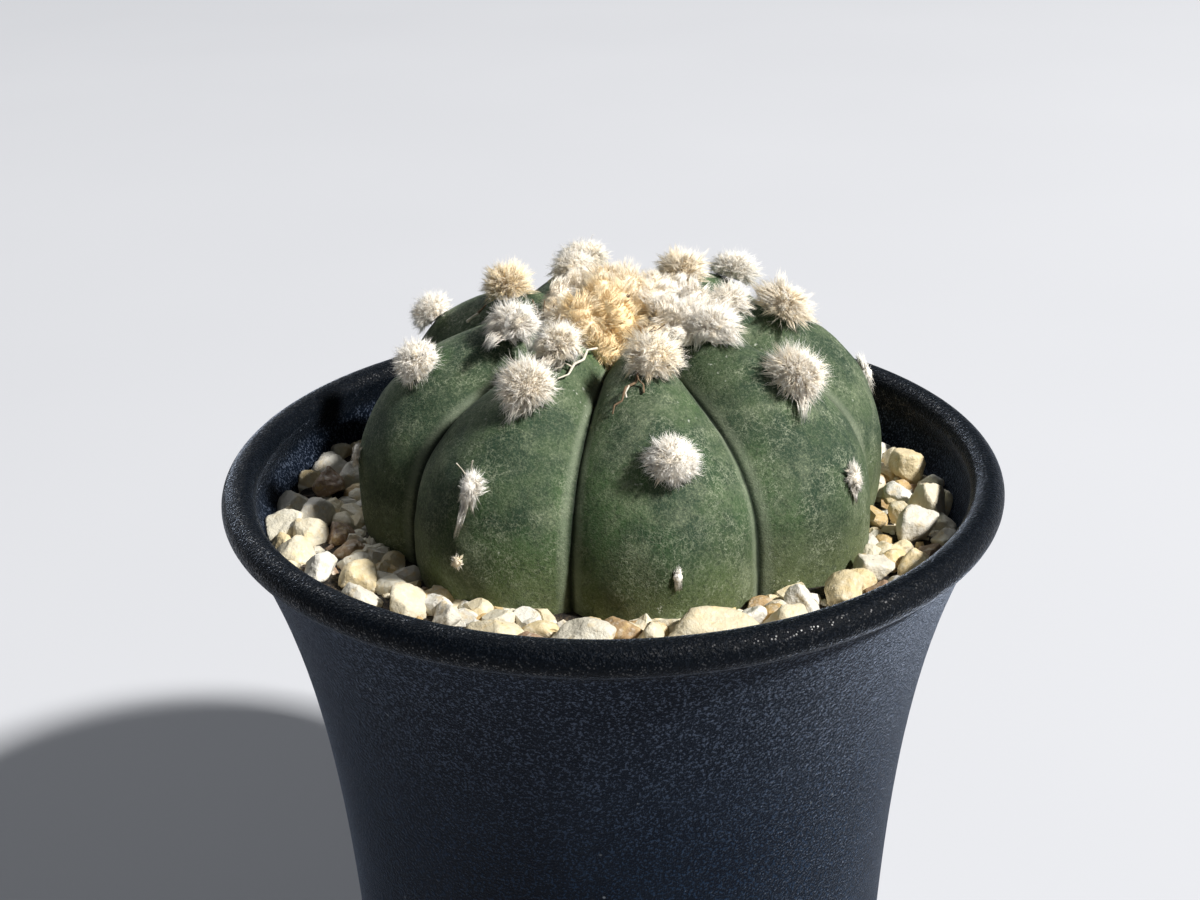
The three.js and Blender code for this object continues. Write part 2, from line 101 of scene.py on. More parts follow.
# Ribs in order round the body: where each begins, and its areoles as
# [azimuth, angle down from the crown, tuft radius].
RIBS = [
    ("b", -147, [[-121.6, 21, 2.7], [-119.6, 35.6, 3.1], [-123.7, 64.5, 1.8], [-124.5, 84, 1.1]]),
    ("a", -102.3, [[-78.2, 24.5, 3.0], [-79.7, 53.7, 3.2], [-80.7, 82.6, 1.2]]),
    ("h", -60, [[-37, 18.5, 2.9], [-35.8, 41.5, 3.2], [-36.6, 72.4, 1.6]]),
    ("g", -14, [[0, 18, 2.8], [5.7, 31.8, 3.0], [15.4, 71.8, 2.0]]),
    ("f", 36, [[52.5, 17.5, 2.9], [52, 40, 3.0], [57, 67, 1.8]]),
    ("e", 80, [[118, 17.5, 2.8], [103.8, 32, 3.0], [104, 61, 2.0], [104, 82, 1.2]]),
    ("d", 128, [[155.6, 23, 2.9], [152, 51, 2.8], [147, 78, 1.4]]),
    ("c", 166, [[-155.9, 20.5, 2.8], [-163.8, 44.5, 3.1], [-169.4, 78.6, 1.5]]),
]

# Wool. A tuft's row: its kind, its width across the rib, its length up the rib and its height
# against its radius, how golden it is, from 0 for white to 1, and where its tail hangs:
# [across the rib, down the rib], also against its radius.
CLEARANCE = 0.3
TUFTS = {
    "a1": ("curly", 1.25, 1.1, 1.12, 0.42, None), "a2": ("puff", 1.04, 0.94, 1.0, 0.06, None),
    "a3": ("flake", 0.5, 1.5, 0.4, 0.0, None), "b1": ("combed", 1.15, 1.2, 1.05, 0.3, [0.2, 1.5]),
    "b2": ("puff", 1.1, 1.06, 1.1, 0.25, [-0.1, 1.45]), "b3": ("matted", 0.8, 1.3, 0.66, 0.0, [-0.3, 2.4]),
    "b4": ("flake", 0.8, 0.9, 0.45, 0.5, None), "c1": ("combed", 1.3, 1.25, 1.1, 0.08, [0.7, 1.35]),
    "c2": ("puff", 1.03, 1.0, 1.02, 0.1, None), "c3": ("flake", 0.7, 1.2, 0.45, 0.1, None),
    "d1": ("ragged", 1.18, 1.1, 1.2, 0.75, [-0.6, 1.2]), "d2": ("puff", 1.1, 1.05, 1.0, 0.1, None),
    "d3": ("flake", 0.7, 1.2, 0.45, 0.1, None), "e1": ("curly", 1.2, 1.1, 1.1, 0.2, None),
    "e2": ("puff", 1.12, 1.08, 1.06, 0.25, None), "e3": ("matted", 0.8, 1.2, 0.66, 0.1, [0.2, 1.7]),
    "e4": ("flake", 0.7, 1.3, 0.45, 0.2, None), "f1": ("ragged", 1.16, 1.1, 1.2, 0.5, None),
    "f2": ("puff", 1.15, 1.0, 0.95, 0.05, None), "f3": ("matted", 0.8, 1.3, 0.6, 0.1, [-0.2, 1.8]),
    "g1": ("curly", 1.2, 1.15, 1.05, 0.15, None), "g2": ("ragged", 1.28, 1.15, 0.92, 0.4, [0.1, 1.45]),
    "g3": ("matted", 0.7, 1.5, 0.5, 0.0, None), "h1": ("combed", 1.35, 1.3, 1.15, 0.1, [-0.3, 1.35]),
    "h2": ("puff", 1.1, 1.08, 1.08, 0.22, [-1.0, 1.35]), "h3": ("matted", 0.85, 1.2, 0.7, 0.12, [-0.2, 1.6]),
}
# What each kind of tuft is like, in the order of WOOL_TRAITS: its locks, the strands in each, how far
# they reach and how unevenly, how much they lean and hang, how far down the dome they start, and the
# share of its matted core.
WOOL_TRAITS = ("locks", "each", "reach", "uneven", "lean", "hang", "lowest", "core")
WOOL_KINDS = {
    "puff": (120, 11, 1.0, 0.16, 0.2, 0.06, -0.3, 0.62),
    "ragged": (76, 16, 1.02, 0.26, 0.22, 0.0, -0.25, 0.6),
    "curly": (70, 18, 1.0, 0.2, 0.42, 0.08, -0.3, 0.6),
    "combed": (56, 26, 1.04, 0.2, 0.46, 0.16, -0.35, 0.58),
    "matted": (36, 12, 1.0, 0.34, 0.6, 0.2, -0.1, 0.46),
    "flake": (20, 9, 1.0, 0.4, 0.7, 0.2, 0.0, 0.42),
}
STRAND_RADIUS = 0.034
STRAND_TAPER = 0.85
LOCK_WIDTH = 1.5
ROOT_DEPTH = 0.85
STRAY_SHARE = 0.3
STRAY_REACH = (0.9, 1.17)
COAT_PER_AREA = 15
COAT_ROOT_DEPTH = 0.9
COAT_REACH = 0.84
TUFT_LUMPS = 7
TUFT_LUMP_HEIGHT = 0.26
TAIL_STRANDS = 70
TUFT_LIFT = 0.2
CORE_CUT = 0.44
CORE_RELIEF = 0.24

# The crown's wool, as soft puffs grown together: [x, y, height above the lip, radius, how golden].
GOLDEN_PUFFS = [
    (-0.4, 1.6, 16.6, 5.0, 1.0), (-3.2, -1.3, 19.6, 2.6, 0.85), (-2.3, -2.8, 18.2, 2.3, 0.7),
    (-3.8, -2.6, 16.4, 2.3, 0.75), (-0.5, -3.8, 16.3, 2.7, 0.95), (1.3, -2.3, 19.0, 2.2, 1.0),
    (1.9, 1.9, 21.2, 2.6, 0.55), (-0.7, 0.5, 21.4, 2.3, 0.8), (-0.8, 4.3, 21.8, 1.9, 0.6),
    (-5.6, 3.2, 18.4, 2.0, 0.35), (-5.1, -0.7, 17.5, 2.0, 0.35), (-2.3, -3.6, 15.4, 1.8, 0.9),
    (2.4, -2.9, 16.5, 2.2, 0.9), (3.5, 1.1, 19.8, 2.1, 0.6), (-5.6, 3.6, 20.2, 1.8, 0.25),
    (0.3, -1.4, 20.4, 2.1, 0.95), (-3.5, 7.2, 19.6, 2.3, 0.3), (1.5, 7.4, 20.2, 2.3, 0.5),
    (5.0, 6.4, 20.0, 2.1, 0.4), (-5.9, 0.8, 18.8, 1.8, 0.4), (3.0, -5.4, 15.4, 1.6, 0.85),
    (4.6, -3.4, 18.0, 1.9, 0.6),
]
CREAM_PUFFS = [
    (5.2, 0.7, 20.4, 2.2, 0.16), (7.4, 3.4, 20.3, 2.2, 0.1), (9.4, 1.5, 20.0, 2.2, 0.1),
    (6.6, -2.1, 19.3, 2.3, 0.18), (9.0, -3.5, 19.5, 2.3, 0.1), (11.3, -2.4, 19.6, 1.9, 0.18),
    (12.2, -4.4, 19.1, 1.5, 0.35), (7.5, -6.0, 18.6, 1.6, 0.18),
]
# Dry threads, as [radius, points], each point as [x, y, height above the lip]; the radius thins out.
PALE_THREADS = [
    (0.2, [(-1.4, -5.6, 17.2), (-2.5, -7.9, 17.9), (-2.9, -9.7, 17.5), (-3.9, -11.2, 17.6),
           (-4.5, -12.7, 17.0), (-5.7, -13.4, 16.8)]),
    (0.15, [(-4.1, -11.6, 17.4), (-4.9, -11.6, 17.9), (-5.3, -12.2, 17.6), (-6.0, -12.2, 17.5)]),
    (0.12, [(-15.3, -20.5, 9.0), (-15.7, -21.0, 10.0), (-16.2, -21.1, 10.7)]),
    (0.12, [(-14.6, -20.8, 9.4), (-14.6, -21.4, 10.4), (-14.4, -21.6, 11.2)]),
    (0.3, [(-16.9, 7.9, 15.6), (-16.2, 8.1, 16.2), (-15.4, 8.2, 16.6)]),
    (0.16, [(1.9, -15.8, 16.9), (1.5, -16.4, 16.3), (1.6, -16.9, 15.9)]),
]
BROWN_THREADS = [
    (0.2, [(3.8, -13.3, 18.0), (2.9, -14.3, 17.8), (2.6, -15.4, 17.0), (1.5, -16.0, 16.7),
           (1.1, -17.0, 15.6), (0.3, -17.2, 15.2), (0.1, -17.7, 14.4)]),
    (0.16, [(2.8, -14.8, 17.5), (2.9, -15.6, 17.4), (3.4, -16.0, 17.0), (3.4, -16.9, 16.4)]),
    (0.13, [(-8.0, 0.0, 17.8), (-8.1, 0.1, 19.4), (-8.7, 0.3, 21.0)]),
    (0.13, [(-7.2, 0.2, 17.6), (-7.5, 0.3, 19.2), (-7.3, 0.4, 20.8)]),
    (0.12, [(-6.7, 0.5, 17.6), (-6.6, 0.6, 19.0), (-6.2, 0.7, 20.3)]),
    (0.12, [(4.3, -9.9, 20.6), (5.0, -10.4, 21.0), (5.9, -10.6, 21.7)]),
    (0.1, [(3.9, -10.2, 20.4), (4.2, -10.8, 21.0), (4.8, -11.0, 21.6)]),
    (0.26, [(-15.6, 8.4, 16.5), (-15.0, 8.6, 17.0), (-14.5, 8.8, 17.5)]),
    (0.42, [(2.0, -1.9, 21.9), (2.2, -2.2, 22.1)]),
]
THREAD_TAPER = 0.45
PUFF_CORE = 0.72
HEAP_VOXEL = 0.34
HEAP_RELIEF = 0.6
HAIR_ROOT_DEPTH = 0.15
FLEECE = {
    "golden": {"per_area": 24, "clump": 34, "length": 1.5, "swirl": 0.42, "pull": 0.26},
    "cream": {"per_area": 22, "clump": 24, "length": 1.75, "swirl": 0.6, "pull": 0.5},
}

# Stones laid one by one: [azimuth, distance from the pot's axis, depth below the lip, length, width,
# height, tone from 0 white over 0.4 cream and 0.7 ochre to 1 brown].
LAID_STONES = [
    [170, 35, 4.2, 4.4, 4.0, 4.0, 0.95],
    [-176.5, 34.8, 4.6, 5.4, 4.2, 4.0, 0.12],
    [-169.5, 35.4, 5.0, 5.2, 4.2, 4.0, 0.3],
    [-154.7, 36, 4.2, 5.4, 4.4, 3.6, 0.0],
    [-161, 31.6, 5.6, 5.6, 3.6, 3.4, 0.85],
    [-147.5, 33, 4.7, 5.8, 4.6, 3.8, 0.5],
    [-140.5, 35, 4.6, 5.2, 4.0, 3.8, 0.15],
    [-141, 30.6, 5.2, 4.6, 3.6, 3.6, 0.22],
    [-132.5, 32.6, 4.6, 5.8, 4.6, 4.2, 0.3],
    [-124.5, 36, 5.2, 4.0, 3.4, 2.8, 0.1],
    [-122.8, 31.8, 4.7, 3.4, 4.2, 4.2, 0.12],
    [-111.5, 33.4, 4.3, 6.4, 4.8, 3.4, 0.35],
    [-117, 30.6, 5.8, 4.0, 3.4, 3.4, 0.8],
    [-104.2, 34.4, 4.2, 3.4, 3.2, 2.6, 1.0],
    [-95.8, 33.4, 3.6, 7.2, 5.2, 4.0, 0.18],
    [-83.8, 32.6, 3.7, 3.0, 4.0, 4.4, 0.3],
    [-73, 34, 3.4, 10.2, 6.4, 5.2, 0.36],
    [-59.8, 34.4, 4.1, 5.4, 4.6, 4.0, 0.34],
    [-53, 32.9, 4.1, 4.2, 4.4, 4.4, 0.08],
    [-44.2, 34, 3.8, 5.6, 4.6, 4.2, 0.48],
    [-35, 37.2, 5.0, 4.4, 3.2, 3.0, 0.05],
    [-32.6, 33.6, 4.2, 4.6, 4.4, 4.2, 0.16],
    [-23.2, 32.6, 5.0, 3.8, 3.2, 3.0, 0.36],
    [-21.6, 37.4, 5.0, 4.2, 3.6, 3.2, 0.9],
    [-14.5, 35.2, 4.1, 5.4, 4.2, 4.8, 0.14],
    [-6.4, 33.6, 5.0, 3.2, 3.0, 3.4, 0.4],
    [-3, 36.9, 4.0, 5.8, 4.4, 5.0, 0.3],
    [7.4, 35.2, 5.8, 3.4, 3.0, 3.0, 0.78],
    [12.6, 36.9, 4.2, 4.8, 4.4, 4.4, 0.5],
]
STONE_SEED = 41
STONE_SIZES = [6.4, 5.6, 4.8, 4, 3.4]
STONE_TRIES = 900
STONE_EDGE_ROOM = 0.3
STONE_SPACING = 0.78
STONE_WIDTH = 0.82
STONE_FLATNESS = 0.8
STONE_SINK_RANGE = (0.1, 0.45)
DRESSING_DEPTH_FRONT = 3.6
DRESSING_DEPTH_BACK = 5.6
WALL_ROOM = 0.1
BED_DEPTH = 7.1
BED_DEPTH_BACK = 8.1
BED_STEPS = 14
STONE_SHAPES = 12
STONE_CUTS = 11
STONE_VOXEL = 0.067
GRIT_COUNT = 1100
GRIT_SIZES = (0.8, 2.5)
CHIP_COUNT = 230
CHIP_SIZES = (2.5, 4.0)

# Camera: fitted to the rim's ellipse. It looks at the centre of the lip.
IMAGE_WIDTH = 1200
SENSOR = 36
FOCAL_PIXELS = 1732
CAMERA_DISTANCE = 203.1
CAMERA_ELEVATION = 24.78
CAMERA_ROLL = -1.01
SHIFT_PIXELS = (-12.5, 18.5)

# Light. Each lamp's name: [azimuth, elevation, size, power, colour]. The fill lights the back.
LAMPS = {
    "key": (-23, 45, 330, 310, (1.0, 0.975, 0.94)),
    "fill": (115, 38, 1800, 48, (0.95, 0.97, 1.0)),
}
LAMP_DISTANCE = 4000
SKY_STRENGTH = 0.065


# ------------ finishes: shader sums

class Shade:
    """A number or colour on its way through a finish. Python's own signs write the sums."""

    def __init__(self, finish, socket):
        self.finish = finish
        self.socket = socket

    def sum(self, operation, first, second):
        return self.finish.node("ShaderNodeMath", {"operation": operation}, {0: first, 1: second})

    def __add__(self, other):
        return self.sum("ADD", self, other)

    def __sub__(self, other):
        return self.sum("SUBTRACT", self, other)

    def __rsub__(self, other):
        return self.sum("SUBTRACT", other, self)

    def __mul__(self, other):
        return self.sum("MULTIPLY", self, other)

    __radd__ = __add__


class Finish:
    """One finish, made of nodes. Its patterns are placed in millimetres on the piece itself."""

    def __init__(self, name):
        self.material = bpy.data.materials.new(name)
        self.material.use_nodes = True
        self.tree = self.material.node_tree
        self.tree.nodes.clear()
        place = self.node("ShaderNodeTexCoord", {}, {}, "Object")
        self.mm = self.node("ShaderNodeMapping", {}, {"Vector": place, "Scale": (1 / MM,) * 3})

    def node(self, kind, settings, values, output=0):
        """A node with its settings, then its sockets' values or links. Gives one output back."""
        made = self.tree.nodes.new(kind)
        stops = settings.pop("stops", None)
        for key, value in settings.items():
            setattr(made, key, value)
        if stops:
            for index, (position, colour) in enumerate(stops):
                if index > 1:
                    made.color_ramp.elements.new(position)
                made.color_ramp.elements[index].position = position
                made.color_ramp.elements[index].color = (*colour, 1)
        for key, value in values.items():
            if isinstance(value, Shade):
                self.tree.links.new(value.socket, made.inputs[key])
            else:
                made.inputs[key].default_value = value
        return Shade(self, made.outputs[output])

    def noise(self, size, detail=3, roughness=0.5, vector=None):
        values = {"Vector": vector or self.mm, "Scale": 1 / size, "Detail": detail, "Roughness": roughness}
        return self.node("ShaderNodeTexNoise", {}, values)

    def cells(self, size):
        return self.node("ShaderNodeTexVoronoi", {}, {"Vector": self.mm, "Scale": 1 / size}, "Distance")

    def stretched(self, x, y, z):
        return self.node("ShaderNodeMapping", {}, {"Vector": self.mm, "Scale": (x, y, z)})

    def between(self, value, low, high):
        """0 up to low, 1 from high, and smooth in between."""
        values = {"Value": value, "From Min": low, "From Max": high}
        return self.node("ShaderNodeMapRange", {"interpolation_type": "SMOOTHSTEP"}, values)

    def size_of(self, value):
        """The value without its sign."""
        return self.node("ShaderNodeMath", {"operation": "ABSOLUTE"}, {0: value})

    def lines(self, value, level, width):
        """1 along the lines where the value crosses a level, 0 away from them."""
        return 1 - self.between(self.size_of(value - level), width * 0.4, width)

    def blend(self, first, second, amount):
        def colour(value):
            return (*value, 1) if isinstance(value, tuple) else value

        values = {0: amount, 6: colour(first), 7: colour(second)}
        return self.node("ShaderNodeMix", {"data_type": "RGBA"}, values, 2)

    def axis(self, name, of=None):
        return self.node("ShaderNodeSeparateXYZ", {}, {"Vector": of or self.mm}, name)

    def own_map(self, name):
        return self.axis(name, self.node("ShaderNodeTexCoord", {}, {}, "UV"))

    def ramp(self, value, stops):
        return self.node("ShaderNodeValToRGB", {"stops": stops}, {"Fac": value})

    def bump(self, height, depth, under=None):
        """Relief of that depth in millimetres, over another relief if one is given."""
        values = {"Height": height, "Distance": depth * MM, "Strength": 1.0}
        if under:
            values["Normal"] = under
        return self.node("ShaderNodeBump", {}, values)

    def surface(self, **values):
        """The shader. Words with _ are its sockets' names with a space."""
        values = {key.replace("_", " "): value for key, value in values.items()}
        shader = self.node("ShaderNodeBsdfPrincipled", {}, values)
        output = self.tree.nodes.new("ShaderNodeOutputMaterial")
        self.tree.links.new(shader.socket, output.inputs["Surface"])
        return self.material


# ------------ finishes

def matte_plastic():
    """Blue-black plastic with a sandy grain, dusty bloom, scuffs, and glints on the lip."""
    f = Finish("sandy_blue_black_plastic")
    bloom = f.between(f.noise(14, 4, 0.6), 0.42, 0.7)
    base = f.blend((0.0016, 0.0042, 0.0100), (0.0036, 0.0070, 0.0140), bloom)
    grain = f.noise(0.34, 2, 0.75)
    sand = f.between(grain, 0.53, 0.62)
    # The sand grain is paler towards the top of the wall.
    sand_paler_upward = f.between(f.axis("Z"), 44, 74)
    base = f.blend(base, f.blend((0.012, 0.028, 0.058), (0.070, 0.090, 0.130), sand_paler_upward), sand * 0.8)
    scuffs = f.between(f.noise(1.6, 4, 0.7, f.stretched(0.35, 0.35, 1.6)), 0.68, 0.76)
    base = f.blend(base, (0.07, 0.08, 0.095), scuffs * 0.3)
    marks = 1 - f.between(f.cells(3.1), 0.04, 0.07)
    base = f.blend(base, (0.15, 0.17, 0.19), marks * f.between(f.noise(5), 0.5, 0.6) * 0.8)
    on_lip = f.between(f.axis("Z"), WALL_TOP_Z - 1.2, WALL_TOP_Z + 0.4)
    base = f.blend(base, (0.0012, 0.0024, 0.0042), on_lip * 0.92)
    glint = (1 - f.between(f.cells(0.32), 0.22, 0.36)) * f.between(f.noise(1.1, 2), 0.42, 0.52)
    normal = f.bump(grain, 0.18, f.bump(f.noise(2.2, 2), 0.04))
    normal = f.bump(f.noise(0.45, 2, 0.7) * on_lip, 0.1, normal)
    return f.surface(
        Base_Color=base, Roughness=0.58 - on_lip * 0.12, Normal=normal, Specular_IOR_Level=0.06,
        Coat_Weight=glint * on_lip, Coat_Roughness=0.38, Coat_IOR=1.5,
        Sheen_Weight=0.42, Sheen_Roughness=0.22, Sheen_Tint=(0.66, 0.78, 1.0, 1),
    )


def felted_skin():
    """Green skin under a fine pale felt, with scurf, bloom, olive feet, painted shade in the grooves, and
    pale rib edges, partly painted highlight.
    """
    f = Finish("felted_green_skin")
    off_crest = f.size_of(f.own_map("X") * 2 - 1)
    patches = f.between(f.noise(6, 3, 0.55), 0.4, 0.62)
    base = f.blend((0.017, 0.041, 0.021), (0.047, 0.080, 0.036), patches)
    fresh = f.between(f.noise(10, 2, 0.5, f.stretched(1, 1, 0.5)), 0.52, 0.68)
    base = f.blend(base, (0.050, 0.118, 0.028), fresh * 0.5)
    low = 1 - f.between(f.axis("Z"), LIP_Z - 6, LIP_Z + 5)
    base = f.blend(base, (0.115, 0.13, 0.046), low * 0.6)
    flank = f.between(off_crest, 0.35, 0.9)
    base = f.blend(base, (0.095, 0.13, 0.07), flank * 0.16)
    bloom = f.between(f.noise(4.2, 5, 0.65), 0.48, 0.7)
    base = f.blend(base, (0.19, 0.225, 0.145), bloom * 0.38)
    pores = 1 - f.between(f.noise(0.5, 2, 0.6), 0.36, 0.46)
    base = f.blend(base, (0.012, 0.026, 0.012), pores * 0.45)
    felt = f.between(f.noise(0.27, 3, 0.85), 0.48, 0.62)
    base = f.blend(base, (0.24, 0.285, 0.165), felt * (0.24 + bloom * 0.36))
    curls = f.lines(f.noise(1.3, 3, 0.6), 0.5, 0.018) + f.lines(f.noise(0.9, 3, 0.6), 0.46, 0.02)
    where = f.between(f.noise(4, 3), 0.42, 0.64)
    base = f.blend(base, (0.36, 0.40, 0.28), curls * (0.08 + where * 0.3))
    scurf = f.between(f.noise(0.62, 2, 0.6), 0.66, 0.72) * f.between(f.noise(6, 2), 0.56, 0.68)
    base = f.blend(base, (0.50, 0.53, 0.46), scurf * 0.8)
    # A pale line along both rib edges: partly the felt's paler edge, partly a painted highlight where the
    # edges catch light.
    rim = f.between(off_crest, 0.85, 0.93) * (1 - f.between(off_crest, 0.955, 0.985))
    base = f.blend(base, (0.22, 0.255, 0.18), rim * 0.45)
    # Painted shade: near-black along the bottom of each groove, where the ribs meet.
    painted_groove_shade = f.between(off_crest, 0.93, 1.0)
    base = f.blend(base, (0.006, 0.012, 0.006), painted_groove_shade * 0.92)
    normal = f.bump(f.noise(0.3, 3, 0.8), 0.13, f.bump(f.noise(1.7, 3), 0.1))
    return f.surface(
        Base_Color=base, Roughness=0.74 - felt * 0.08, Normal=normal, Specular_IOR_Level=0.24,
        Sheen_Weight=0.06, Sheen_Roughness=0.5, Sheen_Tint=(0.86, 0.92, 0.84, 1),
    )


def wool(name):
    """Fine hair. The map on each strand holds its share from root to tip, and how golden it is."""
    f = Finish(name)
    along = f.own_map("X")
    gold = f.own_map("Y")
    tip = f.blend((0.965, 0.95, 0.905), (0.97, 0.81, 0.52), gold)
    # Darker towards the root: the wool's own tan, and painted shade deep in the tuft. The matted cores and
    # heaps take a colour near the roots'.
    root = f.blend((0.88, 0.82, 0.73), (0.88, 0.66, 0.34), gold)
    base = f.blend(root, tip, f.between(along, 0.0, 0.7))
    return f.surface(Base_Color=base, Roughness=0.75, Sheen_Weight=0.1, Sheen_Roughness=0.5)


def crushed_stone():
    """Matt crushed stone. Each stone's map holds its own tone; patches of it are stained ochre."""
    f = Finish("crushed_stone")
    tone = f.own_map("X")
    own = f.ramp(tone, [
        (0.0, (0.72, 0.70, 0.63)), (1.0, (0.12, 0.075, 0.045)), (0.1, (0.58, 0.55, 0.49)),
        (0.2, (0.68, 0.64, 0.52)), (0.4, (0.62, 0.54, 0.36)), (0.6, (0.66, 0.53, 0.30)),
        (0.75, (0.50, 0.34, 0.14)), (0.88, (0.30, 0.20, 0.13)),
    ])
    stain = f.between(f.noise(1.7, 4, 0.65), 0.52, 0.68)
    base = f.blend(own, (0.68, 0.49, 0.20), stain * 0.45)
    chalk = f.between(f.noise(0.8, 3, 0.6), 0.5, 0.66)
    base = f.blend(base, (0.77, 0.75, 0.66), chalk * 0.35)
    specks = 1 - f.between(f.cells(1.3), 0.06, 0.12)
    base = f.blend(base, (0.10, 0.06, 0.03), specks * f.between(f.noise(2), 0.52, 0.6) * 0.7)
    normal = f.bump(f.noise(0.35, 3, 0.7), 0.14, f.bump(f.noise(1.2, 3), 0.22))
    return f.surface(Base_Color=base, Roughness=0.62 - chalk * 0.12, Normal=normal)


def gritty_mix(name, dark, pale):
    """Dark potting mix with lighter grains."""
    f = Finish(name)
    grains = f.between(f.noise(0.7, 3, 0.7), 0.5, 0.62)
    base = f.blend(dark, pale, grains)
    normal = f.bump(f.noise(0.5, 3, 0.7), 0.3)
    return f.surface(Base_Color=base, Roughness=0.9, Normal=normal)


def dry_matter(name, colour, pale):
    """Dry threads and husks, streaked."""
    f = Finish(name)
    streaks = f.noise(0.4, 2, 0.6)
    return f.surface(Base_Color=f.blend(colour, pale, streaks), Roughness=0.8, Normal=f.bump(streaks, 0.05))


def pale_floor():
    f = Finish("pale_floor")
    base = f.blend((0.495, 0.51, 0.545), (0.53, 0.545, 0.58), f.noise(160, 2))
    return f.surface(Base_Color=base, Roughness=0.9)


# ------------ the bench: selecting and applying

def put_down():
    """Object mode with nothing selected."""
    if bpy.context.object and bpy.context.object.mode != "OBJECT":
        bpy.ops.object.mode_set(mode="OBJECT")
    bpy.ops.object.select_all(action="DESELECT")


def pick_up(piece):
    put_down()
    piece.select_set(True)
    bpy.context.view_layer.objects.active = piece


def begin(shape, **settings):
    """A new primitive, the only piece selected."""
    put_down()
    getattr(bpy.ops.mesh, f"primitive_{shape}_add")(**settings)
    return bpy.context.object


def edit_all():
    bpy.ops.object.mode_set(mode="EDIT")
    bpy.ops.mesh.select_all(action="SELECT")


def face_out():
    """Turns every face outward."""
    bpy.ops.mesh.select_all(action="SELECT")
    bpy.ops.mesh.normals_make_consistent(inside=False)


def fix_place():
    bpy.ops.object.transform_apply(location=True, rotation=True, scale=True)


def drawn(points):
    """An edge drawn through the points, left in edit mode."""
    edge = begin("plane", size=MM, location=(0, 0, 0))
    edit_all()
    bpy.ops.mesh.merge(type="CENTER")
    places = [Vector([value * MM for value in point]) for point in points]
    bpy.ops.transform.translate(value=places[0])
    for before, after in zip(places, places[1:]):
        bpy.ops.mesh.extrude_vertices_move(TRANSFORM_OT_translate={"value": after - before})
    return edge


def apply_modifier(piece, kind, **settings):
    pick_up(piece)
    modifier = piece.modifiers.new(kind.title(), kind)
    for key, value in settings.items():
        setattr(modifier, key, value)
    bpy.ops.object.modifier_apply(modifier=modifier.name)


def roughen(piece, name, size, depth, middle=0.5):
    """Pushes the surface in and out by cloudy noise of that size and depth."""
    texture = bpy.data.textures.new(name, "CLOUDS")
    texture.noise_scale = size * MM
    texture.noise_depth = 2
    apply_modifier(piece, "DISPLACE", texture=texture, strength=depth * MM, mid_level=middle)


def linked(name, data):
    piece = bpy.data.objects.new(name, data)
    bpy.context.scene.collection.objects.link(piece)
    return piece


def join_pieces(pieces):
    put_down()
    for piece in pieces:
        piece.select_set(True)
    bpy.context.view_layer.objects.active = pieces[0]
    bpy.ops.object.join()
    return bpy.context.object


def settle(piece, name, finish, slot, *nodes):
    """Names a finished piece, fixes its place in its mesh, and joins it to the plant."""
    pick_up(piece)
    fix_place()
    piece.name = name
    piece.data.name = name
    piece.data.materials.clear()
    piece.data.materials.append(finish)
    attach(piece, "root")
    if nodes:
        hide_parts(*nodes)


def seeded(seed):
    """A repeatable stream of numbers from 0 to 1."""
    state = seed
    while True:
        state = state * 16807 % 2147483647
        yield state / 2147483647


# ------------ pot

def wall_radius(z):
    return WALL_WAIST_RADIUS + WALL_FLARE * np.exp((z - WALL_TOP_Z) / WALL_FLARE_LENGTH)


def inner_radius(z):
    """Inside of the wall, straight between the same levels as in the solid pot."""
    chord = np.interp(z, WALL_LEVELS, [wall_radius(level) for level in WALL_LEVELS])
    return float(chord) - WALL_THICKNESS


def arc(centre, radius, start, end, steps):
    angles = [math.radians(start + (end - start) * step / steps) for step in range(steps + 1)]
    return [(centre[0] + radius * math.cos(a), centre[1] + radius * math.sin(a)) for a in angles]


def levels_between(start, end):
    return [start + (end - start) * step / WALL_STEPS for step in range(WALL_STEPS + 1)]


def pot_profile():
    """[radius, height] from the axis under the base, round the wall and lip, to the axis inside."""
    foot = wall_radius(0)
    return [
        (0, FOOT_HEIGHT),
        (foot - FOOT_WIDTH - 0.4, FOOT_HEIGHT),
        (foot - FOOT_WIDTH, FOOT_HEIGHT - 0.4),
        *arc((foot - FOOT_WIDTH + FOOT_ROUNDING, FOOT_ROUNDING), FOOT_ROUNDING, 180, 270, 4),
        *arc((foot - FOOT_ROUNDING, FOOT_ROUNDING), FOOT_ROUNDING, 270, 360, 4),
        *[(wall_radius(z), z) for z in levels_between(FOOT_ROUNDING * 2, WALL_TOP_Z)],
        *arc((LIP_CENTRE_RADIUS, LIP_Z), LIP_SECTION_RADIUS, LIP_SKIRT_ANGLE, 180, 24),
        *[(wall_radius(z) - WALL_THICKNESS, z) for z in levels_between(WALL_TOP_Z, BASE_TOP_Z + 1)],
        *arc((wall_radius(BASE_TOP_Z) - WALL_THICKNESS - 1, BASE_TOP_Z + 1), 1, 0, -90, 4)[1:],
        (0, BASE_TOP_Z),
    ]


def turn_pot():
    """The profile is drawn point by point, spun round the axis, and the drains are cut."""
    pot = drawn([(radius, 0, z) for radius, z in pot_profile()])
    bpy.ops.mesh.select_all(action="SELECT")
    bpy.ops.mesh.spin(steps=POT_STEPS, angle=2 * math.pi, center=(0, 0, 0), axis=(0, 0, 1))
    bpy.ops.mesh.select_all(action="SELECT")
    bpy.ops.mesh.remove_doubles(threshold=0.002 * MM)
    face_out()
    bpy.ops.object.mode_set(mode="OBJECT")
    for index in range(DRAIN_COUNT):
        cut_drain(pot, 360 * (index + 0.5) / DRAIN_COUNT)
    pick_up(pot)
    bpy.ops.object.shade_smooth_by_angle(angle=math.radians(40))
    settle(pot, "flared_pot", matte_plastic(), "pot_plastic", "pot")


